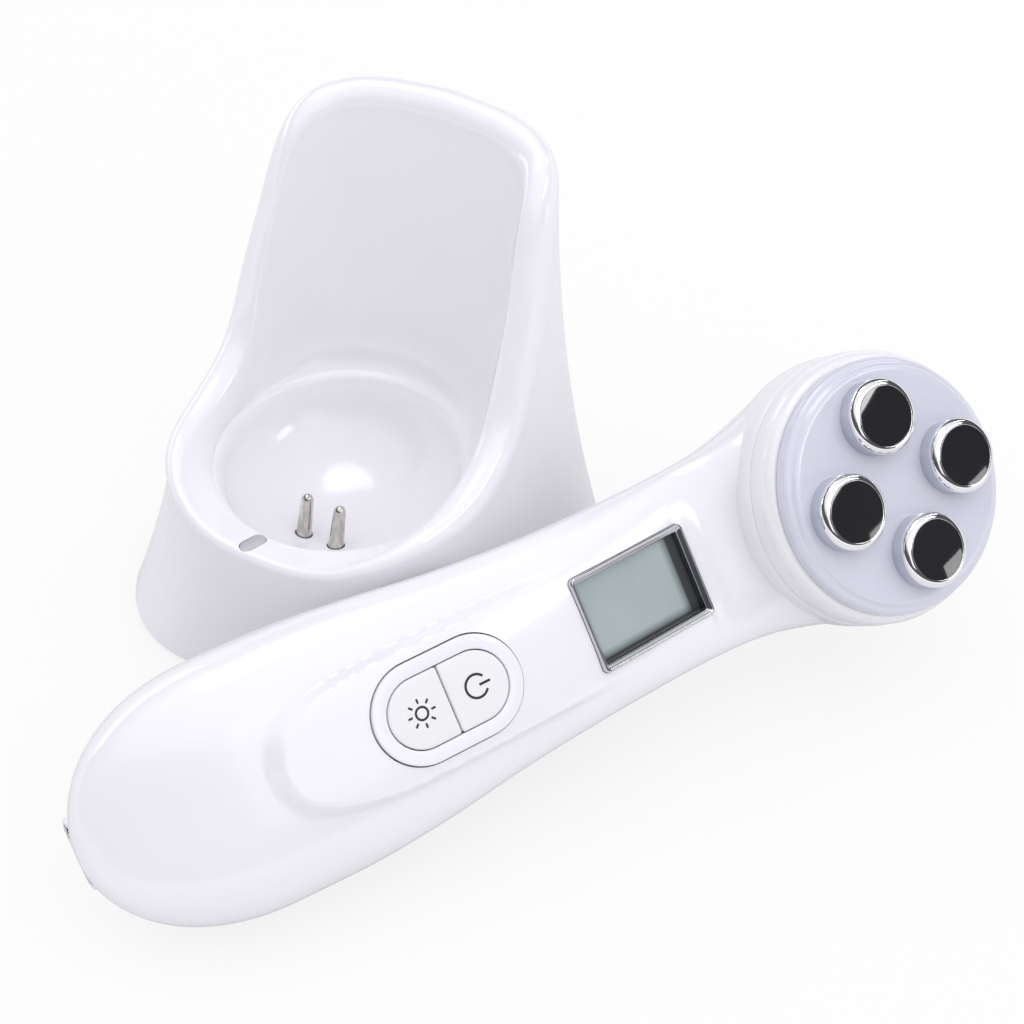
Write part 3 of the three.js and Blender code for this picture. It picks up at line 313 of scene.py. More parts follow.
def metal(name, dark, light, rough_low, rough_high):
    """Plated metal with a faint stain."""
    colours = [[0.3, dark], [0.7, light]]
    return uneven(principled(name, Metallic=1.0), 90, colours, 220, (rough_low, rough_high), 600, 0.01)


def brushed(name, colour, streaks):
    """Turned metal: fine rings round the object's Z axis."""
    material, nodes, shader = principled(name, Metallic=1.0, Roughness=0.15)
    place = nodes.add("ShaderNodeTexCoord")
    squeeze = nodes.add("ShaderNodeMapping", {"Scale": (40, 40, streaks)})
    nodes.link(place, "Object", squeeze, "Vector")
    lines = nodes.add("ShaderNodeTexNoise", {"Scale": 30})
    nodes.link(squeeze, "Vector", lines, "Vector")
    dark = [0.72 * c for c in colour]
    tint = ramp(nodes, lines, "Fac", [[0.35, dark], [0.6, colour]])
    nodes.link(tint, "Color", shader, "Base Color")
    bump(nodes, shader, lines, 0.15)
    return material


def circuit_board(name, mask, copper):
    """Solder mask with a maze of copper tracks under it."""
    material, nodes, shader = principled(name, Roughness=0.45)
    place = nodes.add("ShaderNodeTexCoord")
    darker = [0.8 * c for c in mask]
    sockets = {"Scale": 260, "Color1": (*mask, 1), "Color2": (*darker, 1), "Mortar": (*copper, 1)}
    tracks = nodes.add("ShaderNodeTexBrick", sockets)
    nodes.link(place, "Object", tracks, "Vector")
    nodes.link(tracks, "Color", shader, "Base Color")
    bump(nodes, shader, tracks, 0.3)
    return material


# Looks: darker and lighter colour, lowest and highest roughness, then grain and relief of the skin
WHITE = plastic("white_gloss", (0.84, 0.84, 0.868), (0.86, 0.86, 0.885), 0.15, 0.21, coat=0.4)
WHITE_BUTTON = plastic("white_button", (0.79, 0.795, 0.805), (0.82, 0.825, 0.835), 0.24, 0.32, 2200, 0.05)
WHITE_BASE = plastic("white_base", (0.8, 0.8, 0.81), (0.83, 0.83, 0.84), 0.45, 0.6, 3000, 0.15)
DISC = plastic("disc_grey", (0.625, 0.64, 0.73), (0.665, 0.68, 0.765), 0.2, 0.28, coat=0.5)
CHROME = metal("chrome", (0.86, 0.86, 0.87), (0.93, 0.93, 0.94), 0.02, 0.05)
# Near-black gloss for the electrode caps: a painted reflection of dark surroundings, standing in for
# their chrome tops
PAINTED_DARK_REFLECTION = plastic(
    "painted_dark_reflection", (0.008, 0.008, 0.009), (0.013, 0.013, 0.015), 0.03, 0.06, 1800, 0.01, index=2.1,
)
# Darker, blue-grey copy of the chrome for the electrode sides: painted shade
PAINTED_SHADE_CHROME = metal("chrome_painted_shade", (0.6, 0.62, 0.67), (0.7, 0.72, 0.77), 0.12, 0.2)
SMOKED_CHROME = metal("smoked_chrome", (0.58, 0.59, 0.61), (0.7, 0.71, 0.73), 0.06, 0.11)
NICKEL = brushed("nickel", (0.66, 0.63, 0.6), 3)
STEEL = brushed("steel", (0.5, 0.5, 0.52), 400)
RUBBER = plastic("rubber_grey", (0.24, 0.24, 0.25), (0.3, 0.3, 0.31), 0.7, 0.9, 2600, 0.4)
DARK = plastic("dark_plastic", (0.012, 0.012, 0.014), (0.02, 0.02, 0.022), 0.4, 0.55, 2600, 0.2)
BOARD = circuit_board("board_green", (0.02, 0.09, 0.035), (0.05, 0.16, 0.05))
WHITE_BOARD = circuit_board("board_white", (0.78, 0.78, 0.76), (0.7, 0.66, 0.52))
FROSTED = plastic("frosted_window", (0.42, 0.42, 0.44), (0.5, 0.5, 0.52), 0.3, 0.4, 1800, 0.1)
LAMP = plastic("lamp", (0.75, 0.78, 0.84), (0.82, 0.85, 0.9), 0.1, 0.15)
CELL = plastic("cell_wrap", (0.04, 0.12, 0.32), (0.06, 0.16, 0.38), 0.25, 0.35)
INK = plastic("ink", (0.012, 0.012, 0.014), (0.02, 0.02, 0.024), 0.4, 0.5, 4000, 0.1)


# Shade that the display's frame throws on its panel, along X and along Y
LIT = (1, 1, 1)
HALF_SHADE = (0.42, 0.43, 0.43)
FULL_SHADE = (0.06, 0.06, 0.07)
PANEL_SHADES = {
    "X": [[0.0, LIT], [0.84, LIT], [0.9, HALF_SHADE], [0.915, FULL_SHADE]],
    "Y": [[0.04, FULL_SHADE], [0.07, HALF_SHADE], [0.15, LIT], [1.0, LIT]],
}
PANEL_TINT = [[0.3, (0.36, 0.425, 0.42)], [0.7, (0.4, 0.46, 0.455)]]


def multiplied(nodes, first, first_output, second, second_output):
    """The product of two colours, at output 2."""
    mix = nodes.add("ShaderNodeMix", {"Factor": 1}, data_type="RGBA", blend_type="MULTIPLY")
    nodes.link(first, first_output, mix, 6)
    nodes.link(second, second_output, mix, 7)
    return mix


def display_material():
    """The blank liquid-crystal panel: grey-green, in the shade of its frame at two sides."""
    material, nodes, shader = principled("display_panel", Roughness=0.35, Coat_Weight=0.4)
    place = nodes.add("ShaderNodeTexCoord")
    split = nodes.add("ShaderNodeSeparateXYZ")
    nodes.link(place, "UV", split, "Vector")
    across, along = [ramp(nodes, split, axis, stops) for axis, stops in PANEL_SHADES.items()]
    shade = multiplied(nodes, across, "Color", along, "Color")
    tint = ramp(nodes, noise(nodes, 70, 3), "Fac", PANEL_TINT)
    shaded = multiplied(nodes, shade, 2, tint, "Color")
    nodes.link(shaded, 2, shader, "Base Color")
    return material


# Curves and meshes

def through(pairs):
    """A smooth curve through [place, value] pairs, level past both ends."""
    xs = np.array([p[0] for p in pairs], float)
    ys = np.array([p[1] for p in pairs], float)
    slopes = np.empty_like(ys)
    slopes[1:-1] = (ys[2:] - ys[:-2]) / (xs[2:] - xs[:-2])
    slopes[0] = (ys[1] - ys[0]) / (xs[1] - xs[0])
    slopes[-1] = (ys[-1] - ys[-2]) / (xs[-1] - xs[-2])

    def curve(place):
        place = np.clip(np.asarray(place, float), xs[0], xs[-1])
        i = np.clip(np.searchsorted(xs, place, "right") - 1, 0, len(xs) - 2)
        span = xs[i + 1] - xs[i]
        t = (place - xs[i]) / span
        lift = ys[i] * (1 + 2 * t) * (1 - t) ** 2 + ys[i + 1] * t * t * (3 - 2 * t)
        return lift + span * (slopes[i] * t * (1 - t) ** 2 - slopes[i + 1] * t * t * (1 - t))

    return curve


def moved(x, y, z):
    """The matrix of a step in millimetres."""
    return Matrix.Translation(Vector((x, y, z)) * MM)


def smoothstep(value, low, high):
    t = np.clip((value - low) / (high - low), 0, 1)
    return t * t * (3 - 2 * t)


def mesh_object(name, points, faces, material, matrix=None):
    """A mesh from points in millimetres."""
    mesh = bpy.data.meshes.new(name)
    mesh.from_pydata([tuple(p) for p in np.asarray(points) * MM], [], faces)
    mesh.validate()
    mesh.shade_smooth()
    obj = bpy.data.objects.new(name, mesh)
    bpy.context.scene.collection.objects.link(obj)
    if matrix is not None:
        mesh.transform(matrix)
    if material is not None:
        mesh.materials.append(material)
    return obj


def grid_faces(rings, count, wrap_rings=False):
    """Quads between rings of equal count, each ring closed on itself."""
    faces = []
    for i in range(rings if wrap_rings else rings - 1):
        for j in range(count):
            k = (j + 1) % count
            low = i * count
            high = ((i + 1) % rings) * count
            faces.append((low + j, low + k, high + k, high + j))
    return faces


def skin(name, rings, material, matrix=None, start=None, end=None):
    """A closed surface through rings, with a point at each end where one is given."""
    rings = np.asarray(rings, float)
    count = rings.shape[1]
    points = rings.reshape(-1, 3)
    faces = grid_faces(rings.shape[0], count, wrap_rings=start is None)
    if start is not None:
        first = len(points)
        points = np.vstack([points, start, end])
        last = (rings.shape[0] - 1) * count
        for j in range(count):
            k = (j + 1) % count
            faces.append((first, k, j))
            faces.append((first + 1, last + j, last + k))
    obj = mesh_object(name, points, faces, material, matrix)
    face_out(obj)
    return obj


def face_out(obj):
    """Turns a closed mesh's faces outwards."""
    mesh = obj.data
    mesh.calc_loop_triangles()
    points = np.array([v.co for v in mesh.vertices])
    triangles = np.array([t.vertices for t in mesh.loop_triangles])
    a, b, c = (points[triangles[:, k]] for k in range(3))
    if np.einsum("ij,ij->i", a, np.cross(b, c)).sum() < 0:
        mesh.flip_normals()


def turned(profile, segments):
    """Rings about Z through [radius, height] points."""
    angles = np.linspace(0, 2 * math.pi, segments, endpoint=False)
    return [
        np.stack([r * np.cos(angles), r * np.sin(angles), np.full(segments, h)], 1)
        for r, h in profile
    ]


def lathe(name, profile, material, segments=128, matrix=None):
    """A turned piece about Z from [radius, height] points that start and end on the axis."""
    profile = np.asarray(profile, float)
    rings = turned(profile[1:-1], segments)
    start = (0, 0, profile[0][1])
    end = (0, 0, profile[-1][1])
    return skin(name, rings, material, matrix, start, end)


def lathe_ring(name, profile, material, segments=160, matrix=None):
    """A turned ring about Z from a closed loop of [radius, height] points."""
    return skin(name, turned(profile, segments), material, matrix)


def rounded(points, radius, steps=5):
    """A [x, y] polyline with its inner corners rounded."""
    points = np.asarray(points, float)
    made = [points[0]]
    for before, corner, after in zip(points[:-2], points[1:-1], points[2:]):
        back = before - corner
        ahead = after - corner
        reach = min(radius, 0.45 * np.linalg.norm(back), 0.45 * np.linalg.norm(ahead))
        a = corner + back / np.linalg.norm(back) * reach
        b = corner + ahead / np.linalg.norm(ahead) * reach
        for t in np.linspace(0, 1, steps):
            made.append((1 - t) ** 2 * a + 2 * t * (1 - t) * corner + t * t * b)
    made.append(points[-1])
    return np.array(made)


def apply_boolean(obj, cutter, operation):
    """obj becomes its union, difference or intersection with cutter, which goes away."""
    modifier = obj.modifiers.new("cut", "BOOLEAN")
    modifier.operation = operation
    modifier.solver = "MANIFOLD"
    modifier.object = cutter
    graph = bpy.context.evaluated_depsgraph_get()
    mesh = bpy.data.meshes.new_from_object(obj.evaluated_get(graph))
    obj.modifiers.clear()
    old = obj.data
    obj.data = mesh
    look = old.materials[0]
    mesh.materials.clear()
    mesh.materials.append(look)
    mesh.polygons.foreach_set("material_index", [0] * len(mesh.polygons))
    bpy.data.meshes.remove(old)
    bpy.data.objects.remove(cutter)
    return obj


def sharpen(obj, degrees):
    """Smooth shading that breaks at edges steeper than this."""
    obj.data.shade_smooth()
    obj.data.set_sharp_from_angle(angle=math.radians(degrees))


# Cradle

rim_height = through([
    [RIM_FRONT, 41], [-36, 44.5], [-28, 47], [-8, 48.5], [5, 55], [14, 69.5],
    [20, 80], [24, 88.5], [28, 95], [34, RIM_TOP - 3.2], [40.5, RIM_TOP - 1.5], [RIM_BACK, RIM_TOP],
])
back_half_width = through([
    [0, RIM_HALF_WIDTH], [6, RIM_HALF_WIDTH], [14, 34.6], [20, 33.7], [28, 31.6],
    [34, 29.2], [40.5, 23.5], [44, 14], [RIM_BACK, 0],
])


def rim_half_width(y):
    share = np.clip(y / RIM_FRONT, 0, 1) ** RIM_FULLNESS
    front = RIM_HALF_WIDTH * (1 - share) ** (1 / RIM_FULLNESS)
    return np.where(y > 0, back_half_width(y), front)


def reach_of(angles, inside):
    """Distance from the bowl's axis to an outline, for each angle."""
    low = np.zeros_like(angles)
    high = np.full_like(angles, 130.0)
    for _ in range(46):
        middle = (low + high) / 2
        hit = inside(middle * np.cos(angles), BOWL_CENTRE + middle * np.sin(angles))
        low = np.where(hit, middle, low)
        high = np.where(hit, high, middle)
    return low


def in_base(x, y):
    middle = (BASE_FRONT + BASE_BACK) / 2
    over_x = np.abs(x) - (BASE_HALF_WIDTH - BASE_CORNER)
    over_y = np.abs(y - middle) - ((BASE_BACK - BASE_FRONT) / 2 - BASE_CORNER)
    flat = (over_x <= 0) | (over_y <= 0)
    return np.where(flat, np.maximum(over_x, over_y), np.hypot(over_x, over_y)) < BASE_CORNER


def in_rim(x, y):
    return (y > RIM_FRONT) & (y < RIM_BACK) & (np.abs(x) < rim_half_width(y))


def bezier(t, a, b, c, d):
    s = 1 - t
    return s ** 3 * a + 3 * s * s * t * b + 3 * s * t * t * c + t ** 3 * d


def soften(values, rounds):
    """Evens out a closed row of numbers."""
    for _ in range(rounds):
        values = (np.roll(values, 1) + 2 * values + np.roll(values, -1)) / 4
    return values


def cradle_profiles(angles):
    """The cradle's skin for each angle: up the outer wall, over the rim and into the bowl."""
    base = reach_of(angles, in_base)
    rim = soften(reach_of(angles, in_rim), 6)
    top = soften(rim_height(BOWL_CENTRE + rim * np.sin(angles)), 4)
    shelf = BOWL_EDGE + SHELF_STEP
    back = np.sin(angles)
    half = RIM_ROUNDING_FRONT + (RIM_ROUNDING_BACK - RIM_ROUNDING_FRONT) * smoothstep(back, -1, 0)
    drop = np.minimum(half, 0.6 * (top - shelf))
    foot = BOWL_RADIUS + 1 + FACE_FOOT * smoothstep(back, 0, 0.9)
    side_start = 0.78 - 0.4 * smoothstep(back, -0.35, 0.35)
    sideness = smoothstep(np.abs(np.cos(angles)), side_start, 0.94)
    flare = WALL_FLARE + (SIDE_FLARE - WALL_FLARE) * sideness
    radii = []
    heights = []
    for t in np.linspace(0, 1, WALL_STEPS):
        radii.append(rim + half * 0.25 + (base - rim - half * 0.25) * (1 - t) ** flare)
        heights.append(SHELL_BOTTOM + (top - half - SHELL_BOTTOM) * t)
    for t in np.linspace(0, math.pi / 2, RIM_OUTER_STEPS)[1:]:
        radii.append(rim - half * 0.5 + 0.75 * half * np.cos(t))
        heights.append(top - half + half * np.sin(t))
    deep = smoothstep(top - shelf, 5, 22)
    turn = math.pi / 2 * (0.5 + 0.5 * deep)
    for t in np.linspace(0, 1, RIM_INNER_STEPS)[1:]:
        radii.append(rim - half * 0.5 - half * np.sin(t * turn))
        heights.append(top - drop + drop * np.cos(t * turn))
    inner = radii[-1]
    low = heights[-1]
    edge = BOWL_RADIUS + BOWL_LIP
    slope = np.clip(drop * np.sin(turn) / np.maximum(half * np.cos(turn), 0.01), 0, 4)
    run = 0.35 * (inner - edge)
    fall = np.minimum(slope * run, 0.8 * (low - shelf))
    cove = np.minimum(FACE_COVE, 0.5 * (low - shelf))
    wall = inner - foot
    for t in np.linspace(0, 1, FACE_STEPS)[1:]:
        dish = bezier(t, inner, inner - run, foot + 0.04 * wall, edge)
        dish_level = bezier(t, low, low - fall, shelf + 0.06 * (low - shelf), BOWL_EDGE)
        if t < 0.5:
            face = inner - wall * bezier(2 * t, 0, 0.3, 0.7, 1)
            level = low + (shelf + cove - low) * 2 * t
        else:
            face = bezier(2 * t - 1, foot, foot - 0.15 * cove, foot - 0.5 * (foot - edge), edge)
            level = bezier(2 * t - 1, shelf + cove, shelf + 0.4 * cove, shelf, BOWL_EDGE)
        radii.append(dish + (face - dish) * deep)
        heights.append(dish_level + (level - dish_level) * deep)
    one = np.ones_like(angles)
    lip = math.radians(24)
    start = np.array([BOWL_RADIUS * math.cos(lip * 0.7), BOWL_EDGE - BOWL_DEPTH * math.sin(lip * 0.7)])
    for t in np.linspace(0, 1, LIP_STEPS)[1:-1]:
        corner = np.array([BOWL_RADIUS + 0.1, BOWL_EDGE - 0.1])
        point = (1 - t) ** 2 * np.array([edge, BOWL_EDGE]) + 2 * t * (1 - t) * corner + t * t * start
        radii.append(one * point[0])
        heights.append(one * point[1])
    for t in np.linspace(lip * 0.7, math.pi / 2, BOWL_STEPS)[:-1]:
        radii.append(one * BOWL_RADIUS * math.cos(t))
        heights.append(one * (BOWL_EDGE - BOWL_DEPTH * math.sin(t)))
    return np.array(radii), np.array(heights)


def cradle_rings(radii, heights, angles):
    x = radii * np.cos(angles)
    y = BOWL_CENTRE + radii * np.sin(angles)
    return np.stack([x, y, heights], 2)


def bowl_height(x, y):
    share = min(math.hypot(x, y - BOWL_CENTRE) / BOWL_RADIUS, 1)
    return BOWL_EDGE - BOWL_DEPTH * math.sqrt(1 - share * share)


def pin_axis(side):
    x = side * PIN_SPACING / 2
    return moved(x, PIN_BACK, bowl_height(x, PIN_BACK)) @ Matrix.Rotation(-PIN_LEAN, 4, "X")


def window_matrix():
    return moved(*WINDOW_PLACE, 0) @ Matrix.Rotation(WINDOW_TURN, 4, "Z")


def arc_points(x, y, radius, angles):
    """[x, y] points of an arc about a centre."""
    return [(x + radius * math.cos(angle), y + radius * math.sin(angle)) for angle in angles]


def racetrack(half_straight, radius, steps=40):
    """[x, y] points of a racetrack whose straights run along X."""
    points = []
    for centre, start in [(half_straight, -math.pi / 2), (-half_straight, math.pi / 2)]:
        points += arc_points(centre, 0, radius, np.linspace(start, start + math.pi, steps))
    return np.array(points)


def stacked(outline_at, profile):
    """An outline's rings, through [inset, height] points."""
    rings = []
    for inset, height in profile:
        outline = outline_at(inset)
        rings.append(np.column_stack([outline, np.full(len(outline), height)]))
    return rings


def prism(name, outline, low, high, material=None, matrix=None):
    """A straight-sided solid over a closed outline."""
    count = len(outline)
    rings = [np.column_stack([outline, np.full(count, h)]) for h in (low, high)]
    middle = outline.mean(axis=0)
    return skin(name, rings, material, matrix, (*middle, low), (*middle, high))


def make_cradle():
    angles = np.linspace(0, 2 * math.pi, CRADLE_SEGMENTS, endpoint=False)
    radii, heights = cradle_profiles(angles)
    outer = cradle_rings(radii, heights, angles)
    inner_radius = radii[0] - SHELL_WALL
    inner_low = cradle_rings(
        np.array([inner_radius, inner_radius - 1.5]),
        np.array([np.full_like(angles, SHELL_BOTTOM), np.full_like(angles, 5.0)]),
        angles,
    )
    rings = np.concatenate([inner_low[::-1], outer])
    start = (0, BOWL_CENTRE, 5.0)
    end = (0, BOWL_CENTRE, BOWL_EDGE - BOWL_DEPTH)
    shell = skin("cradle_moulding", rings, WHITE, None, start, end)
    for side in (-1, 1):
        hole = [[0, -4], [PIN_HOLE_RADIUS, -4], [PIN_HOLE_RADIUS, 4], [0, 4]]
        apply_boolean(shell, lathe("hole", hole, None, 48, pin_axis(side)), "DIFFERENCE")
    slot = racetrack(WINDOW_LENGTH / 2 - WINDOW_RADIUS, WINDOW_RADIUS + 0.12, 20)
    apply_boolean(shell, prism("slot", slot, BOWL_EDGE - 4, RIM_TOP, None, window_matrix()), "DIFFERENCE")
    socket_low, socket_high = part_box("power_inlet")
    level = (socket_low[2] + socket_high[2]) / 2 / MM
    mouth = moved(0, INLET_START, level) @ Matrix.Rotation(-math.pi / 2, 4, "X")
    bore = [[0, 0], [INLET_RADIUS, 0], [INLET_RADIUS, INLET_LENGTH], [0, INLET_LENGTH]]
    apply_boolean(shell, lathe("bore", bore, None, 64, mouth), "DIFFERENCE")
    sharpen(shell, 38)
    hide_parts("cradle_shell")
    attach(shell, "cradle")


def make_window():
    """The indicator's lens, slightly crowned in its slot."""
    def outline_at(inset):
        return racetrack(WINDOW_LENGTH / 2 - WINDOW_RADIUS, WINDOW_RADIUS - inset, 20)

    level = BOWL_EDGE + WINDOW_LIFT
    profile = [(0, level - 3), (0, level - 0.16), (0.12, level - 0.04), (0.3, level)]
    rings = stacked(outline_at, profile)
    lens = skin("window_lens", rings, FROSTED, window_matrix(), (0, 0, level - 3), (0, 0, level + 0.02))
    sharpen(lens, 40)
    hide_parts("indicator_window")
    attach(lens, "cradle")


def pin_profile():
    """[radius, height] points of a charge pin, from its foot to its round tip."""
    tip = PIN_TIP_RADIUS
    neck = PIN_HEIGHT - tip
    profile = [[0, -PIN_SHANK], [PIN_RADIUS, -PIN_SHANK], [PIN_RADIUS, 0.5], [PIN_RADIUS * 0.97, 0.9]]
    profile += [[tip + 0.12, neck - 1.4], [tip, neck]]
    for t in np.linspace(0.1, math.pi / 2, 10)[:-1]:
        profile.append([tip * math.cos(t), neck + tip * math.sin(t)])
    profile.append([0, neck + tip])
    return profile


def make_pins():
    for name, side in (("left", -1), ("right", 1)):
        pin = lathe("pin_" + name, pin_profile(), NICKEL, 64, pin_axis(side))
        sharpen(pin, 50)
        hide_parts("charge_pin_" + name)
        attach(pin, "cradle")


# Handset

HANDSET = (
    moved(*HANDSET_PLACE)
    @ Matrix.Rotation(HANDSET_HEADING, 4, "Z")
    @ Matrix.Rotation(HANDSET_PITCH, 4, "Y")
    @ Matrix.Rotation(HANDSET_ROLL, 4, "X")
)
HEAD = HANDSET @ moved(HEAD_CENTRE, 0, 0)

neck_rise = through([[14, 0], [20, 0.9], [26, 4.2], [33, 9.5], [40, 12.5], [NECK_END, 19]])
half_width = through([
    [NOSE_START, NOSE_HALF_WIDTH], [-69, 25.4], [-53, 24], [-36, 21.9], [-17, 20.4], [0, 19.9],
    [15, 20], [27, 20.8], [36, 22.9], [45, 25.9], [HEAD_CENTRE, 28], [NECK_END, 28],
])
seam_level = through([
    [-120, NOSE_POLE], [-100, -22.6], [NOSE_START, -20.6], [-69, -17.3], [-53, -14], [-36, -11.6],
    [-17, -10], [0, -9.3], [15, -8.5], [28, -7], [42, -4.4], [HEAD_CENTRE, -2.2], [90, 0],
])
back_line = through([
    [NOSE_START, -41.5], [-69, -38.8], [-53, -33.2], [-36, -28], [-17, -25], [0, -24.2],
    [15, -23.2], [28, -22.2], [42, -20.2], [NECK_END, -17],
])


def front_line(along):
    return FRONT_SLOPE * along + 0.5 * FRONT_CURVE * along * along


def tongue_fade(along):
    return 1 - smoothstep(along, TONGUE_FADE_START, TONGUE_FADE_END)


def bezier_points(corners, places):
    """Points of the curve that four [along, side] corners draw."""
    return [[bezier(t, *row) for row in zip(*corners)] for t in places]


def tongue_outline():
    """The tongue panel's edge, as a closed [along, side] polyline."""
    side = TONGUE_HALF_WIDTH
    start = TONGUE_FADE_END + 10
    end = TONGUE_END
    bend = (end + 3, TONGUE_TIP_HALF_WIDTH + 2.4)
    flank = [(TONGUE_SHOULDER, side), (TONGUE_SHOULDER - 9, side), bend, (end + 1, 4.5)]
    tip = [(end + 1, 4.5), (end - 0.4, 1.5), (end - 0.4, -1.5), (end + 1, -4.5)]
    upper = [(start, side), (TONGUE_SHOULDER, side)]
    flank_curve = bezier_points(flank, np.linspace(0, 1, 40)[1:])
    tip_curve = bezier_points(tip, np.linspace(0, 1, 20)[1:-1])
    lower = [(x, -y) for x, y in reversed(flank_curve)]
    lower += [(TONGUE_SHOULDER, -side), (start, -side)]
    return np.array(upper + flank_curve + tip_curve + lower)


def inside_distance(points, outline):
    """How far each point lies inside a closed outline, negative outside."""
    after = np.roll(outline, -1, axis=0)
    best = np.full(len(points), 1e9)
    inside = np.zeros(len(points), bool)
    x, y = points[:, 0], points[:, 1]
    for a, b in zip(outline, after):
        edge = b - a
        length = max(edge @ edge, 1e-12)
        t = np.clip(((x - a[0]) * edge[0] + (y - a[1]) * edge[1]) / length, 0, 1)
        best = np.minimum(best, np.hypot(x - a[0] - t * edge[0], y - a[1] - t * edge[1]))
        if a[1] != b[1]:
            crosses = (a[1] > y) != (b[1] > y)
            inside ^= crosses & (x < (b[0] - a[0]) * (y - a[1]) / (b[1] - a[1]) + a[0])
    return np.where(inside, best, -best)


def handle_rings(stations, count):
    """The handle's sections, without the tongue."""
    rings = []
    angles = np.linspace(0, 2 * math.pi, count, endpoint=False)
    side = np.cos(angles)
    up = np.sin(angles)
    for along in stations:
        t = max(0.0, (NOSE_START - along) / NOSE_LENGTH)
        taper = math.sqrt(max(0.0, 1 - t ** NOSE_POWER))
        rise = min(float(front_line(along) + neck_rise(along)), HEAD_RIM - NECK_UNDER_RIM)
        front = rise - TONGUE_LIFT * float(tongue_fade(along))
        seam = float(seam_level(along))
        half = float(half_width(along)) * taper
        front = seam + (front - seam) * taper
        back = seam + (float(back_line(along)) - seam) * taper
        power = np.where(up >= 0, 2 / FRONT_FULLNESS, 2 / BACK_FULLNESS)
        level = np.where(up >= 0, front, back)
        v = half * np.sign(side) * np.abs(side) ** power
        n = seam + (level - seam) * np.abs(up) ** power
        rings.append(np.stack([np.full(count, along), v, n], 1))
    return np.array(rings)


def bevel_share(t, round_off=0.16):
    """A straight bevel from 0 to 1 with its two creases rounded."""
    t = np.clip(t, 0, 1)
    start = np.minimum(t, round_off) ** 2 / (2 * round_off)
    straight = np.clip(t - round_off, 0, 1 - 2 * round_off)
    end = np.clip(t - 1 + round_off, 0, round_off)
    return (start + straight + end - end ** 2 / (2 * round_off)) / (1 - round_off)


def raise_tongue(rings):
    """Lifts the sections inside the tongue's outline."""
    flat = rings.reshape(-1, 3)
    depth = inside_distance(flat[:, :2], tongue_outline())
    near_end = smoothstep(flat[:, 0], TONGUE_END + TONGUE_END_ZONE, TONGUE_END + 3)
    bevel = TONGUE_BEVEL + (TONGUE_END_BEVEL - TONGUE_BEVEL) * near_end
    lift = TONGUE_LIFT * bevel_share(depth / bevel + 0.5) * tongue_fade(flat[:, 0])
    front = flat[:, 2] > seam_level(flat[:, 0]) + 3
    flat[:, 2] += np.where(front, lift, 0)
    return flat.reshape(rings.shape)


def head_profile():
    """[radius, height] points of the head's back, from its dome to its rim."""
    power = HEAD_DOME_POWER
    profile = []
    for t in np.linspace(0, math.pi / 2, 40):
        profile.append([HEAD_RADIUS * math.sin(t) ** power, HEAD_DOME * math.cos(t) ** power])
    profile[0][0] = 0
    profile[-1] = [HEAD_RADIUS, 0]
    profile += [[HEAD_RADIUS, 2], [HEAD_RADIUS, 4], [HEAD_RADIUS, HEAD_RIM - 0.25]]
    profile += [[HEAD_RADIUS - 0.08, HEAD_RIM - 0.07], [HEAD_RADIUS - 0.25, HEAD_RIM], [0, HEAD_RIM]]
    return profile


def seam_cutter(shift):
    """Everything in front of the seam."""
    first, last = CUTTER_ENDS
    along = np.linspace(first, last, 160)
    low = seam_level(along) + shift
    section = [(x, z) for x, z in zip(along, low)] + [(last, CUTTER_REACH), (first, CUTTER_REACH)]
    rings = [[(x, side, z) for x, z in section] for side in (-CUTTER_REACH, CUTTER_REACH)]
    count = len(section)
    points = np.array(rings).reshape(-1, 3)
    faces = [(j, (j + 1) % count, count + (j + 1) % count, count + j) for j in range(count)]
    faces += [tuple(reversed(range(count))), tuple(range(count, 2 * count))]
    cutter = mesh_object("seam", points, faces, None, HANDSET)
    face_out(cutter)
    return cutter


def rounded_rectangle(width, height, corner, steps=10):
    points = []
    for sx, sy, start in ((1, -1, -90), (1, 1, 0), (-1, 1, 90), (-1, -1, 180)):
        angles = np.radians(np.linspace(start, start + 90, steps))
        points += arc_points(sx * (width / 2 - corner), sy * (height / 2 - corner), corner, angles)
    return np.array(points)


def on_front(along, tilt):
    """Places a shape made flat about the origin onto the front face."""
    return HANDSET @ moved(along, 0, float(front_line(along))) @ Matrix.Rotation(-tilt, 4, "Y")


DISPLAY = on_front(0, math.atan(FRONT_SLOPE))
BUTTONS = on_front(BUTTONS_CENTRE, math.atan(FRONT_SLOPE + FRONT_CURVE * BUTTONS_CENTRE))


def make_body():
    nose_end = NOSE_START - NOSE_LENGTH
    zone_end = TONGUE_END + TONGUE_END_ZONE
    turns = np.linspace(0.02, math.pi / 2, NOSE_STEPS)
    nose = NOSE_START + (nose_end - NOSE_START) * np.cos(turns)
    tip = np.linspace(NOSE_START, zone_end, TONGUE_END_STEPS)[1:]
    handle = np.linspace(zone_end, NECK_END, HANDLE_STEPS)[1:]
    rings = raise_tongue(handle_rings(np.concatenate([nose, tip, handle]), HANDSET_SEGMENTS))
    start = (nose_end, 0, float(seam_level(nose_end)))
    end = (NECK_END, 0, float(seam_level(NECK_END)))
    body = skin("body", rings, WHITE, HANDSET, start, end)
    head = lathe("head", head_profile(), WHITE, 192, HEAD)
    return apply_boolean(body, head, "UNION")


def contact_place(side=0):
    """Middle of the contact pad at the bulb's end, or of one socket: X along the pad, Z outwards."""
    aside = PIN_SPACING / 2 / NOSE_HALF_WIDTH
    share = math.hypot(aside, (CONTACT_LEVEL - NOSE_POLE) / NOSE_HALF_DEPTH)
    mouth = NOSE_START - NOSE_LENGTH * (1 - share * share) ** (1 / NOSE_POWER)
    place = HANDSET @ moved(mouth, 0, CONTACT_LEVEL)
    place = place @ Matrix.Rotation(-math.pi / 2, 4, "Y") @ Matrix.Rotation(math.pi / 2, 4, "Z")
    return place @ moved(side * PIN_SPACING / 2, 0, 0)


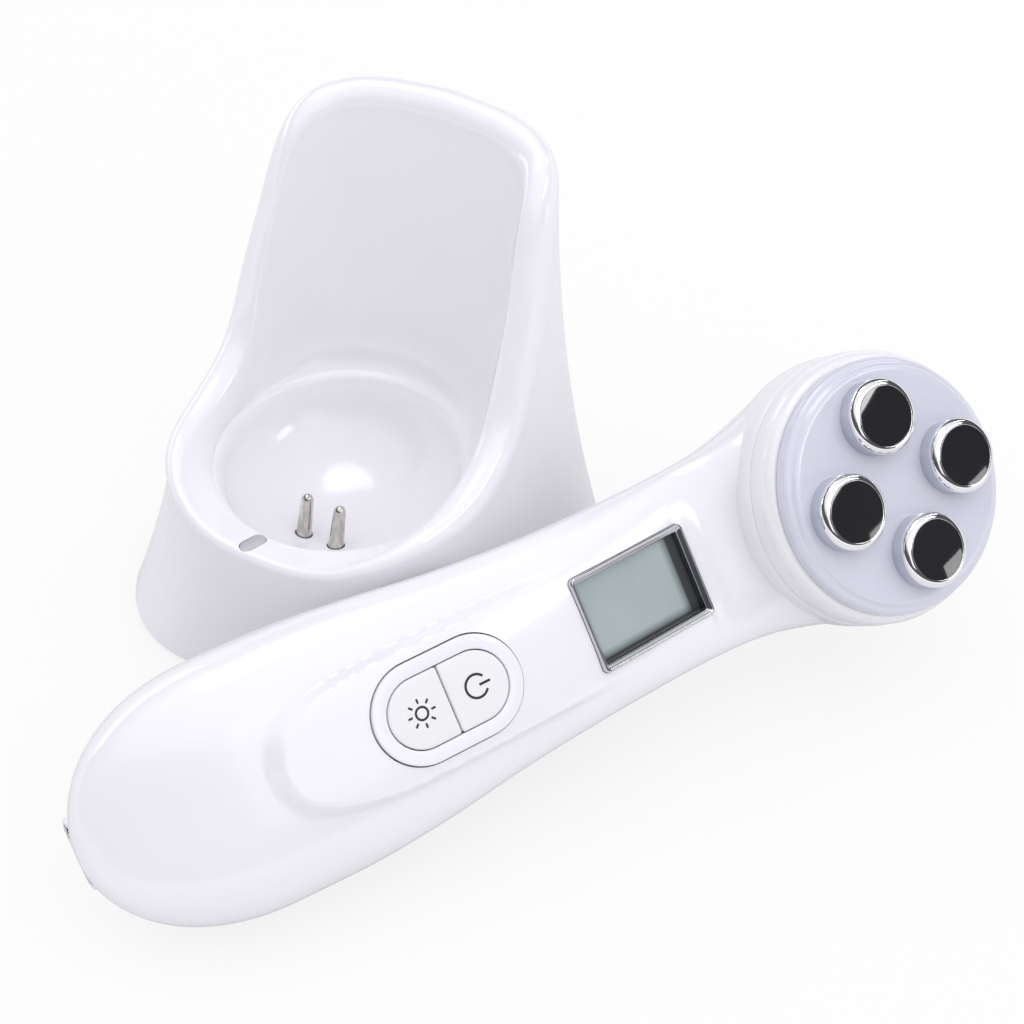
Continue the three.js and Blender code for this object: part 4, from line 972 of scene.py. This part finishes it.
def contact_pad():
    """A flat oval pad with a rounded edge, sunk into the bulb."""
    def outline_at(inset):
        return racetrack(PIN_SPACING / 2, CONTACT_PAD - inset)

    low = CONTACT_PAD_DEPTH
    top = CONTACT_PAD_PROUD
    rings = stacked(outline_at, [(0, low), (0, top - 0.5), (0.15, top - 0.15), (0.5, top)])
    return skin("pad", rings, WHITE, contact_place(), (0, 0, low), (0, 0, top))


def make_contacts():
    """The two sockets that the cradle's pins enter."""
    for name, side in (("left", 1), ("right", -1)):
        low = CONTACT_DEPTH
        high = CONTACT_PAD_PROUD - 0.15
        profile = [
            [0, low], [CONTACT_RADIUS, low], [CONTACT_RADIUS, high - 0.1], [CONTACT_RADIUS - 0.1, high],
            [CONTACT_BORE + 0.1, high], [CONTACT_BORE, high - 0.1], [CONTACT_BORE, low + 1], [0, low + 1],
        ]
        sleeve = lathe("contact_sleeve_" + name, profile, SMOKED_CHROME, 64, contact_place(side))
        sharpen(sleeve, 40)
        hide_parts("charge_contact_" + name)
        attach(sleeve, "handset")


def make_covers():
    body = make_body()
    back = body.copy()
    back.data = body.data.copy()
    bpy.context.scene.collection.objects.link(back)
    front = apply_boolean(body, seam_cutter(SEAM_GAP / 2), "INTERSECT")
    front.name = "front_moulding"
    window = rounded_rectangle(DISPLAY_LENGTH + 0.2, DISPLAY_WIDTH + 0.2, DISPLAY_CORNER + 0.1)
    apply_boolean(front, prism("cut", window, CUT_DEPTH, CUT_TOP, None, DISPLAY), "DIFFERENCE")
    oval = racetrack(RING_HALF_STRAIGHT, RING_RADIUS + RING_GAP)
    apply_boolean(front, prism("cut", oval, CUT_DEPTH, CUT_TOP, None, BUTTONS), "DIFFERENCE")
    sharpen(front, 35)
    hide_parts("front_cover")
    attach(front, "handset")

    apply_boolean(back, contact_pad(), "UNION")
    for side in (-1, 1):
        radius = CONTACT_RADIUS + 0.1
        low = CONTACT_DEPTH
        bore = [[0, low], [radius, low], [radius, -low], [0, -low]]
        apply_boolean(back, lathe("bore", bore, None, 48, contact_place(side)), "DIFFERENCE")
    apply_boolean(back, seam_cutter(-SEAM_GAP / 2), "DIFFERENCE")
    back.name = "back_moulding"
    sharpen(back, 35)
    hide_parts("back_cover")
    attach(back, "handset")


def make_head():
    low = HEAD_RIM + 0.08
    collar = [
        [22.3, low], [28.55, low], [28.75, low + 0.15], [28.8, 8], [28.7, 9.6], [28.2, 11.2],
        [27.5, 12.2], [27.1, 12.42], [26.4, 12.4], [26.4, 8], [22.3, 8],
    ]
    ring = lathe_ring("collar_ring", collar, WHITE, 200, HEAD)
    sharpen(ring, 40)
    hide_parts("head_collar")
    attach(ring, "handset")

    top = DISC_FACE
    profile = [
        [0, top], [23.6, top], [24.2, top - 0.06], [24.7, top - 0.3], [25.0, top - 0.7],
        [25.35, top - 1.0], [25.9, top - 1.2], [26.4, top - 1.6], [26.7, top - 2.2], [26.8, top - 2.9],
        [26.8, 12.85], [26.5, 12.62], [26.1, 12.5], [26.1, 9.5], [0, 9.5],
    ]
    dense = rounded(profile, 0.35, 5)
    dense[0] = profile[0]
    disc = lathe("disc_lens", dense[::-1], DISC, 200, HEAD)
    sharpen(disc, 40)
    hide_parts("light_disc")
    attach(disc, "handset")


def make_electrodes():
    top = DISC_FACE + ELECTRODE_HEIGHT
    for i in range(4):
        angle = i * math.pi / 2
        place = HEAD @ moved(ELECTRODE_CIRCLE * math.cos(angle), ELECTRODE_CIRCLE * math.sin(angle), 0)
        r = ELECTRODE_RADIUS
        edge = ELECTRODE_EDGE
        seat = DISC_FACE - 0.9
        wall = [[0, seat], [r, seat], [r, top - edge - 0.1]]
        for t in np.linspace(0, math.pi / 2, 20)[1:]:
            wall.append([r - edge + edge * math.cos(t), top - edge + edge * math.sin(t)])
        wall += [[r - edge - 0.06, top - 0.02], [r - edge - 0.1, top - 0.06], [0, top - 0.06]]
        shell = lathe("electrode_shell_%d" % (i + 1), wall, CHROME, 160, place)
        sharpen(shell, 40)
        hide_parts("electrode_%d" % (i + 1))
        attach(shell, "handset")
        # A darker chrome sleeve laid over each electrode's side wall: painted shade
        low = DISC_FACE - 0.6
        high = top - edge - 0.25
        side = [[r - 0.5, low], [r + 0.03, low], [r + 0.03, high], [r - 0.5, high]]
        sleeve = lathe_ring("electrode_side_%d" % (i + 1), side, PAINTED_SHADE_CHROME, 160, place)
        sharpen(sleeve, 40)
        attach(sleeve, "handset")
        # A near-black cap laid over each chrome top: painted dark reflection
        rim = r - edge - 0.08
        cap = [[0, top - 0.1], [rim, top - 0.1], [rim, top - 0.04]]
        for share in (0.99, 0.96, 0.9, 0.75, 0.5, 0.25):
            cap.append([rim * share, top - 0.03 + 0.3 * (1 - share * share)])
        cap.append([0, top + 0.27])
        face = lathe("electrode_face_%d" % (i + 1), cap, PAINTED_DARK_REFLECTION, 128, place)
        sharpen(face, 40)
        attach(face, "handset")


def sweep(name, outline_at, profile, material, matrix):
    """A closed section carried round an outline: profile holds [inset, height] points."""
    return skin(name, stacked(outline_at, profile), material, matrix)


def make_display():
    def outline_at(inset):
        corner = max(DISPLAY_CORNER - inset, 0.25)
        return rounded_rectangle(DISPLAY_LENGTH - 2 * inset, DISPLAY_WIDTH - 2 * inset, corner)

    profile = rounded([
        [0, -2.8], [0, 0.1], [0.22, 0.45], [0.62, 0.45], [0.95, 0.12], [1.2, -0.05], [1.5, -0.35],
        [1.55, -1.8], [0.6, -2.8], [0.3, -2.8],
    ], 0.12, 4)
    rim = sweep("display_rim", outline_at, profile, SMOKED_CHROME, DISPLAY)
    sharpen(rim, 30)
    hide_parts("display_frame")
    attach(rim, "handset")

    width = DISPLAY_LENGTH - 2 * PANEL_INSET
    height = DISPLAY_WIDTH - 2 * PANEL_INSET
    levels = (PANEL_LEVEL - PANEL_THICKNESS, PANEL_LEVEL)
    signs = ((-1, -1), (1, -1), (1, 1), (-1, 1))
    corners = [(x * width / 2, y * height / 2, level) for level in levels for x, y in signs]
    faces = [(3, 2, 1, 0), (4, 5, 6, 7), (0, 1, 5, 4), (1, 2, 6, 5), (2, 3, 7, 6), (3, 0, 4, 7)]
    panel = mesh_object("display_panel", corners, faces, display_material(), DISPLAY)
    panel.data.shade_flat()
    layer = panel.data.uv_layers.new(name="place")
    for loop in panel.data.loops:
        x, y, _ = corners[loop.vertex_index]
        layer.data[loop.index].uv = (x / width + 0.5, y / height + 0.5)
    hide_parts("display_glass")
    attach(panel, "handset")


def half_oval(radius, inset):
    """The head end's half of the button oval, its two square corners slightly rounded."""
    corner = BUTTON_CORNER
    start = DIVIDER_GAP / 2 + inset + corner
    reach = radius - inset
    points = arc_points(start, corner - reach, corner, np.radians(np.linspace(180, 270, 8)))
    points += arc_points(RING_HALF_STRAIGHT, 0, reach, np.linspace(-math.pi / 2, math.pi / 2, 60))
    points += arc_points(start, reach - corner, corner, np.radians(np.linspace(90, 180, 8)))
    return np.array(points)


def make_buttons():
    def ring_outline(inset):
        return racetrack(RING_HALF_STRAIGHT, RING_RADIUS - inset, 60)

    def button_outline(inset):
        return half_oval(RING_RADIUS - RING_BAND - BUTTON_GAP, inset)

    profile = rounded([
        [0, -2.4], [0, 0.12], [0.22, 0.33], [RING_BAND / 2, 0.36], [RING_BAND - 0.2, 0.33],
        [RING_BAND, 0.14], [RING_BAND, -2.4], [1.2, -2.4],
    ], 0.12, 4)
    ring = sweep("button_surround", ring_outline, profile, WHITE, BUTTONS)
    sharpen(ring, 40)
    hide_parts("button_ring")
    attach(ring, "handset")

    top = BUTTON_TOP
    rings = stacked(button_outline, [
        (0, BUTTON_FOOT), (0, top - 0.3), (0.05, top - 0.16), (0.16, top - 0.05), (0.32, top),
        (0.6, top + 0.02),
    ])
    for name, turn in (("power", 0), ("light", math.pi)):
        place = BUTTONS @ Matrix.Rotation(turn, 4, "Z")
        cap = skin(name + "_cap", rings, WHITE_BUTTON, place, (6, 0, BUTTON_FOOT), (6, 0, top + 0.03))
        sharpen(cap, 40)
        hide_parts(name + "_button")
        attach(cap, name + "_button")


def stroke(name, points, width, closed, matrix, body):
    """A printed line of even width, flat on its place."""
    points = np.asarray(points, float)
    ahead = np.roll(points, -1, axis=0) if closed else np.vstack([points[1:], points[-1]])
    behind = np.roll(points, 1, axis=0) if closed else np.vstack([points[0], points[:-1]])
    along = ahead - behind
    along /= np.linalg.norm(along, axis=1)[:, None]
    across = np.column_stack([-along[:, 1], along[:, 0]]) * width / 2
    count = len(points)
    corners = np.vstack([points - across, points + across])
    level = np.full((2 * count, 1), 0.0)
    last = count if closed else count - 1
    faces = [(j, (j + 1) % count, count + (j + 1) % count, count + j) for j in range(last)]
    line = mesh_object(name, np.hstack([corners, level]), faces, INK, matrix)
    line.data.shade_flat()
    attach(line, body)


def arc(radius, start, end, steps=40):
    angles = np.radians(np.linspace(start, end, steps))
    return np.column_stack([radius * np.cos(angles), radius * np.sin(angles)])


def make_symbols():
    """Plain signs where the buttons had words: a power sign and a lamp sign."""
    level = moved(0, 0, SIGN_LEVEL)
    spot = BUTTONS @ level @ moved(SIGN_PLACE, 0, 0)
    stroke("power_arc", arc(2.3, 35, 325), POWER_LINE, False, spot, "power_button")
    stroke("power_bar", [(0.6, 0), (3.0, 0)], POWER_LINE, False, spot, "power_button")
    spot = BUTTONS @ level @ moved(-SIGN_PLACE, 0, 0)
    stroke("lamp_ring", arc(1.25, 0, 351), LAMP_LINE, True, spot, "light_button")
    for i in range(8):
        turn = spot @ Matrix.Rotation(i * math.pi / 4, 4, "Z")
        stroke("lamp_ray_%d" % i, [(2.05, 0), (3.0, 0)], RAY_LINE, False, turn, "light_button")


# Pieces that keep their solids

def numbered(name, count):
    return ["%s_%d" % (name, i + 1) for i in range(count)]


LOOKS = {
    WHITE_BASE: ["cradle_base"],
    RUBBER: numbered("cradle_foot", 4),
    STEEL: numbered("base_screw", 4) + numbered("cover_screw", 3) + numbered("electrode_nut", 4),
    BOARD: ["cradle_board", "main_board"],
    WHITE_BOARD: ["led_board"],
    DARK: [
        "pin_carrier", "power_inlet", "power_switch", "light_switch", "boost_transformer",
        "display_module",
    ],
    LAMP: ["indicator_lamp"] + numbered("photon_led", 4),
    CELL: ["battery_cell"],
}


def dress_nodes():
    for material, names in LOOKS.items():
        for name in names:
            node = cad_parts[name]
            node.data.materials.clear()
            node.data.materials.append(material)


# Studio

def area_light(name, place, target, size, power, shape="ELLIPSE", turn=0.0, gloss_only=False):
    light = bpy.data.lights.new(name, "AREA")
    light.shape = shape
    light.size, light.size_y = size
    light.energy = power
    obj = bpy.data.objects.new(name, light)
    obj.location = place
    aim = (Vector(target) - Vector(place)).to_track_quat("-Z", "Y")
    obj.rotation_euler = (aim.to_matrix() @ Matrix.Rotation(turn, 3, "Z")).to_euler()
    obj.visible_diffuse = not gloss_only
    bpy.context.scene.collection.objects.link(obj)


def add_boxes():
    for name, shape, azimuth, elevation, width, height, brightness in BOXES:
        turn = math.radians(azimuth)
        rise = math.radians(elevation)
        level = math.cos(rise)
        place = Vector((level * math.cos(turn), level * math.sin(turn), math.sin(rise))) * BOX_DISTANCE
        power = brightness * math.pi * width * height
        area_light(name, place, BOX_TARGET, (width, height), power, shape, gloss_only=True)


def make_floor():
    side = FLOOR_HALF_SIDE
    corners = [(x * side, y * side, FLOOR_LEVEL) for x, y in ((-1, -1), (1, -1), (1, 1), (-1, 1))]
    material = bpy.data.materials.new("floor")
    material.use_nodes = True
    nodes = Nodes(material.node_tree)
    out = nodes.add("ShaderNodeOutputMaterial")
    matt = nodes.add("ShaderNodeBsdfDiffuse", {"Color": (*FLOOR_COLOUR, 1)})
    glow = nodes.add("ShaderNodeEmission", {"Color": (1, 1, 1, 1), "Strength": FLOOR_GLOW})
    path = nodes.add("ShaderNodeLightPath")
    share = nodes.add("ShaderNodeMath", {1: FLOOR_GLOW_SHARE}, operation="MULTIPLY")
    mix = nodes.add("ShaderNodeMixShader")
    nodes.link(path, "Is Camera Ray", share, 0)
    nodes.link(share, "Value", mix, "Fac")
    nodes.link(matt, "BSDF", mix, 1)
    nodes.link(glow, "Emission", mix, 2)
    nodes.link(mix, "Shader", out, "Surface")
    floor = mesh_object("floor", corners, [(0, 1, 2, 3)], material)


def make_world():
    """A sky lights matt surfaces, gloss mirrors a white tent with a dark gap, the camera sees white."""
    world = bpy.data.worlds.new("studio")
    bpy.context.scene.world = world
    world.use_nodes = True
    nodes = Nodes(world.node_tree)
    out = nodes.add("ShaderNodeOutputWorld")
    place = nodes.add("ShaderNodeTexCoord")
    split = nodes.add("ShaderNodeSeparateXYZ")
    nodes.link(place, "Generated", split, "Vector")
    light = nodes.add("ShaderNodeBackground")
    sky = ramp(nodes, split, "Z", SKY)
    depth = nodes.add("ShaderNodeMath", {1: 0.5, 2: 0.5}, operation="MULTIPLY_ADD")
    nodes.link(split, "Y", depth, 0)
    front = ramp(nodes, depth, "Value", SKY_SHARE)
    nodes.link(sky, "Color", light, "Color")
    nodes.link(front, "Color", light, "Strength")
    tent = nodes.add("ShaderNodeBackground", {"Strength": TENT_STRENGTH})
    wall = ramp(nodes, split, "Z", TENT)
    nodes.link(wall, "Color", tent, "Color")
    white = nodes.add("ShaderNodeBackground", {"Color": (1, 1, 1, 1), "Strength": 1.0})
    path = nodes.add("ShaderNodeLightPath")
    seen = nodes.add("ShaderNodeMath", operation="MAXIMUM")
    nodes.link(path, "Is Camera Ray", seen, 0)
    nodes.link(path, "Is Transmission Ray", seen, 1)
    mirrored = nodes.add("ShaderNodeMixShader")
    nodes.link(path, "Is Glossy Ray", mirrored, "Fac")
    nodes.link(light, "Background", mirrored, 1)
    nodes.link(tent, "Background", mirrored, 2)
    mix = nodes.add("ShaderNodeMixShader")
    nodes.link(seen, "Value", mix, "Fac")
    nodes.link(mirrored, "Shader", mix, 1)
    nodes.link(white, "Background", mix, 2)
    nodes.link(mix, "Shader", out, "Surface")


def make_camera():
    camera = bpy.data.cameras.new("camera")
    camera.lens = CAMERA_LENS
    camera.sensor_width = CAMERA_SENSOR
    camera.shift_x, camera.shift_y = CAMERA_SHIFT
    camera.clip_start, camera.clip_end = CAMERA_CLIP
    obj = bpy.data.objects.new("camera", camera)
    obj.location = Vector(CAMERA_PLACE) * MM
    obj.rotation_euler = (CAMERA_TILT, 0, CAMERA_AZIMUTH)
    bpy.context.scene.collection.objects.link(obj)
    bpy.context.scene.camera = obj


make_camera()
make_floor()
make_world()
area_light(*KEY_LAMP)
add_boxes()
area_light(*BACK_LAMP)
area_light(*CARD_LAMP)

make_cradle()
make_window()
make_pins()
make_covers()
make_contacts()
make_head()
make_electrodes()
make_display()
make_buttons()
make_symbols()
dress_nodes()

bpy.context.scene.view_settings.view_transform = "Standard"
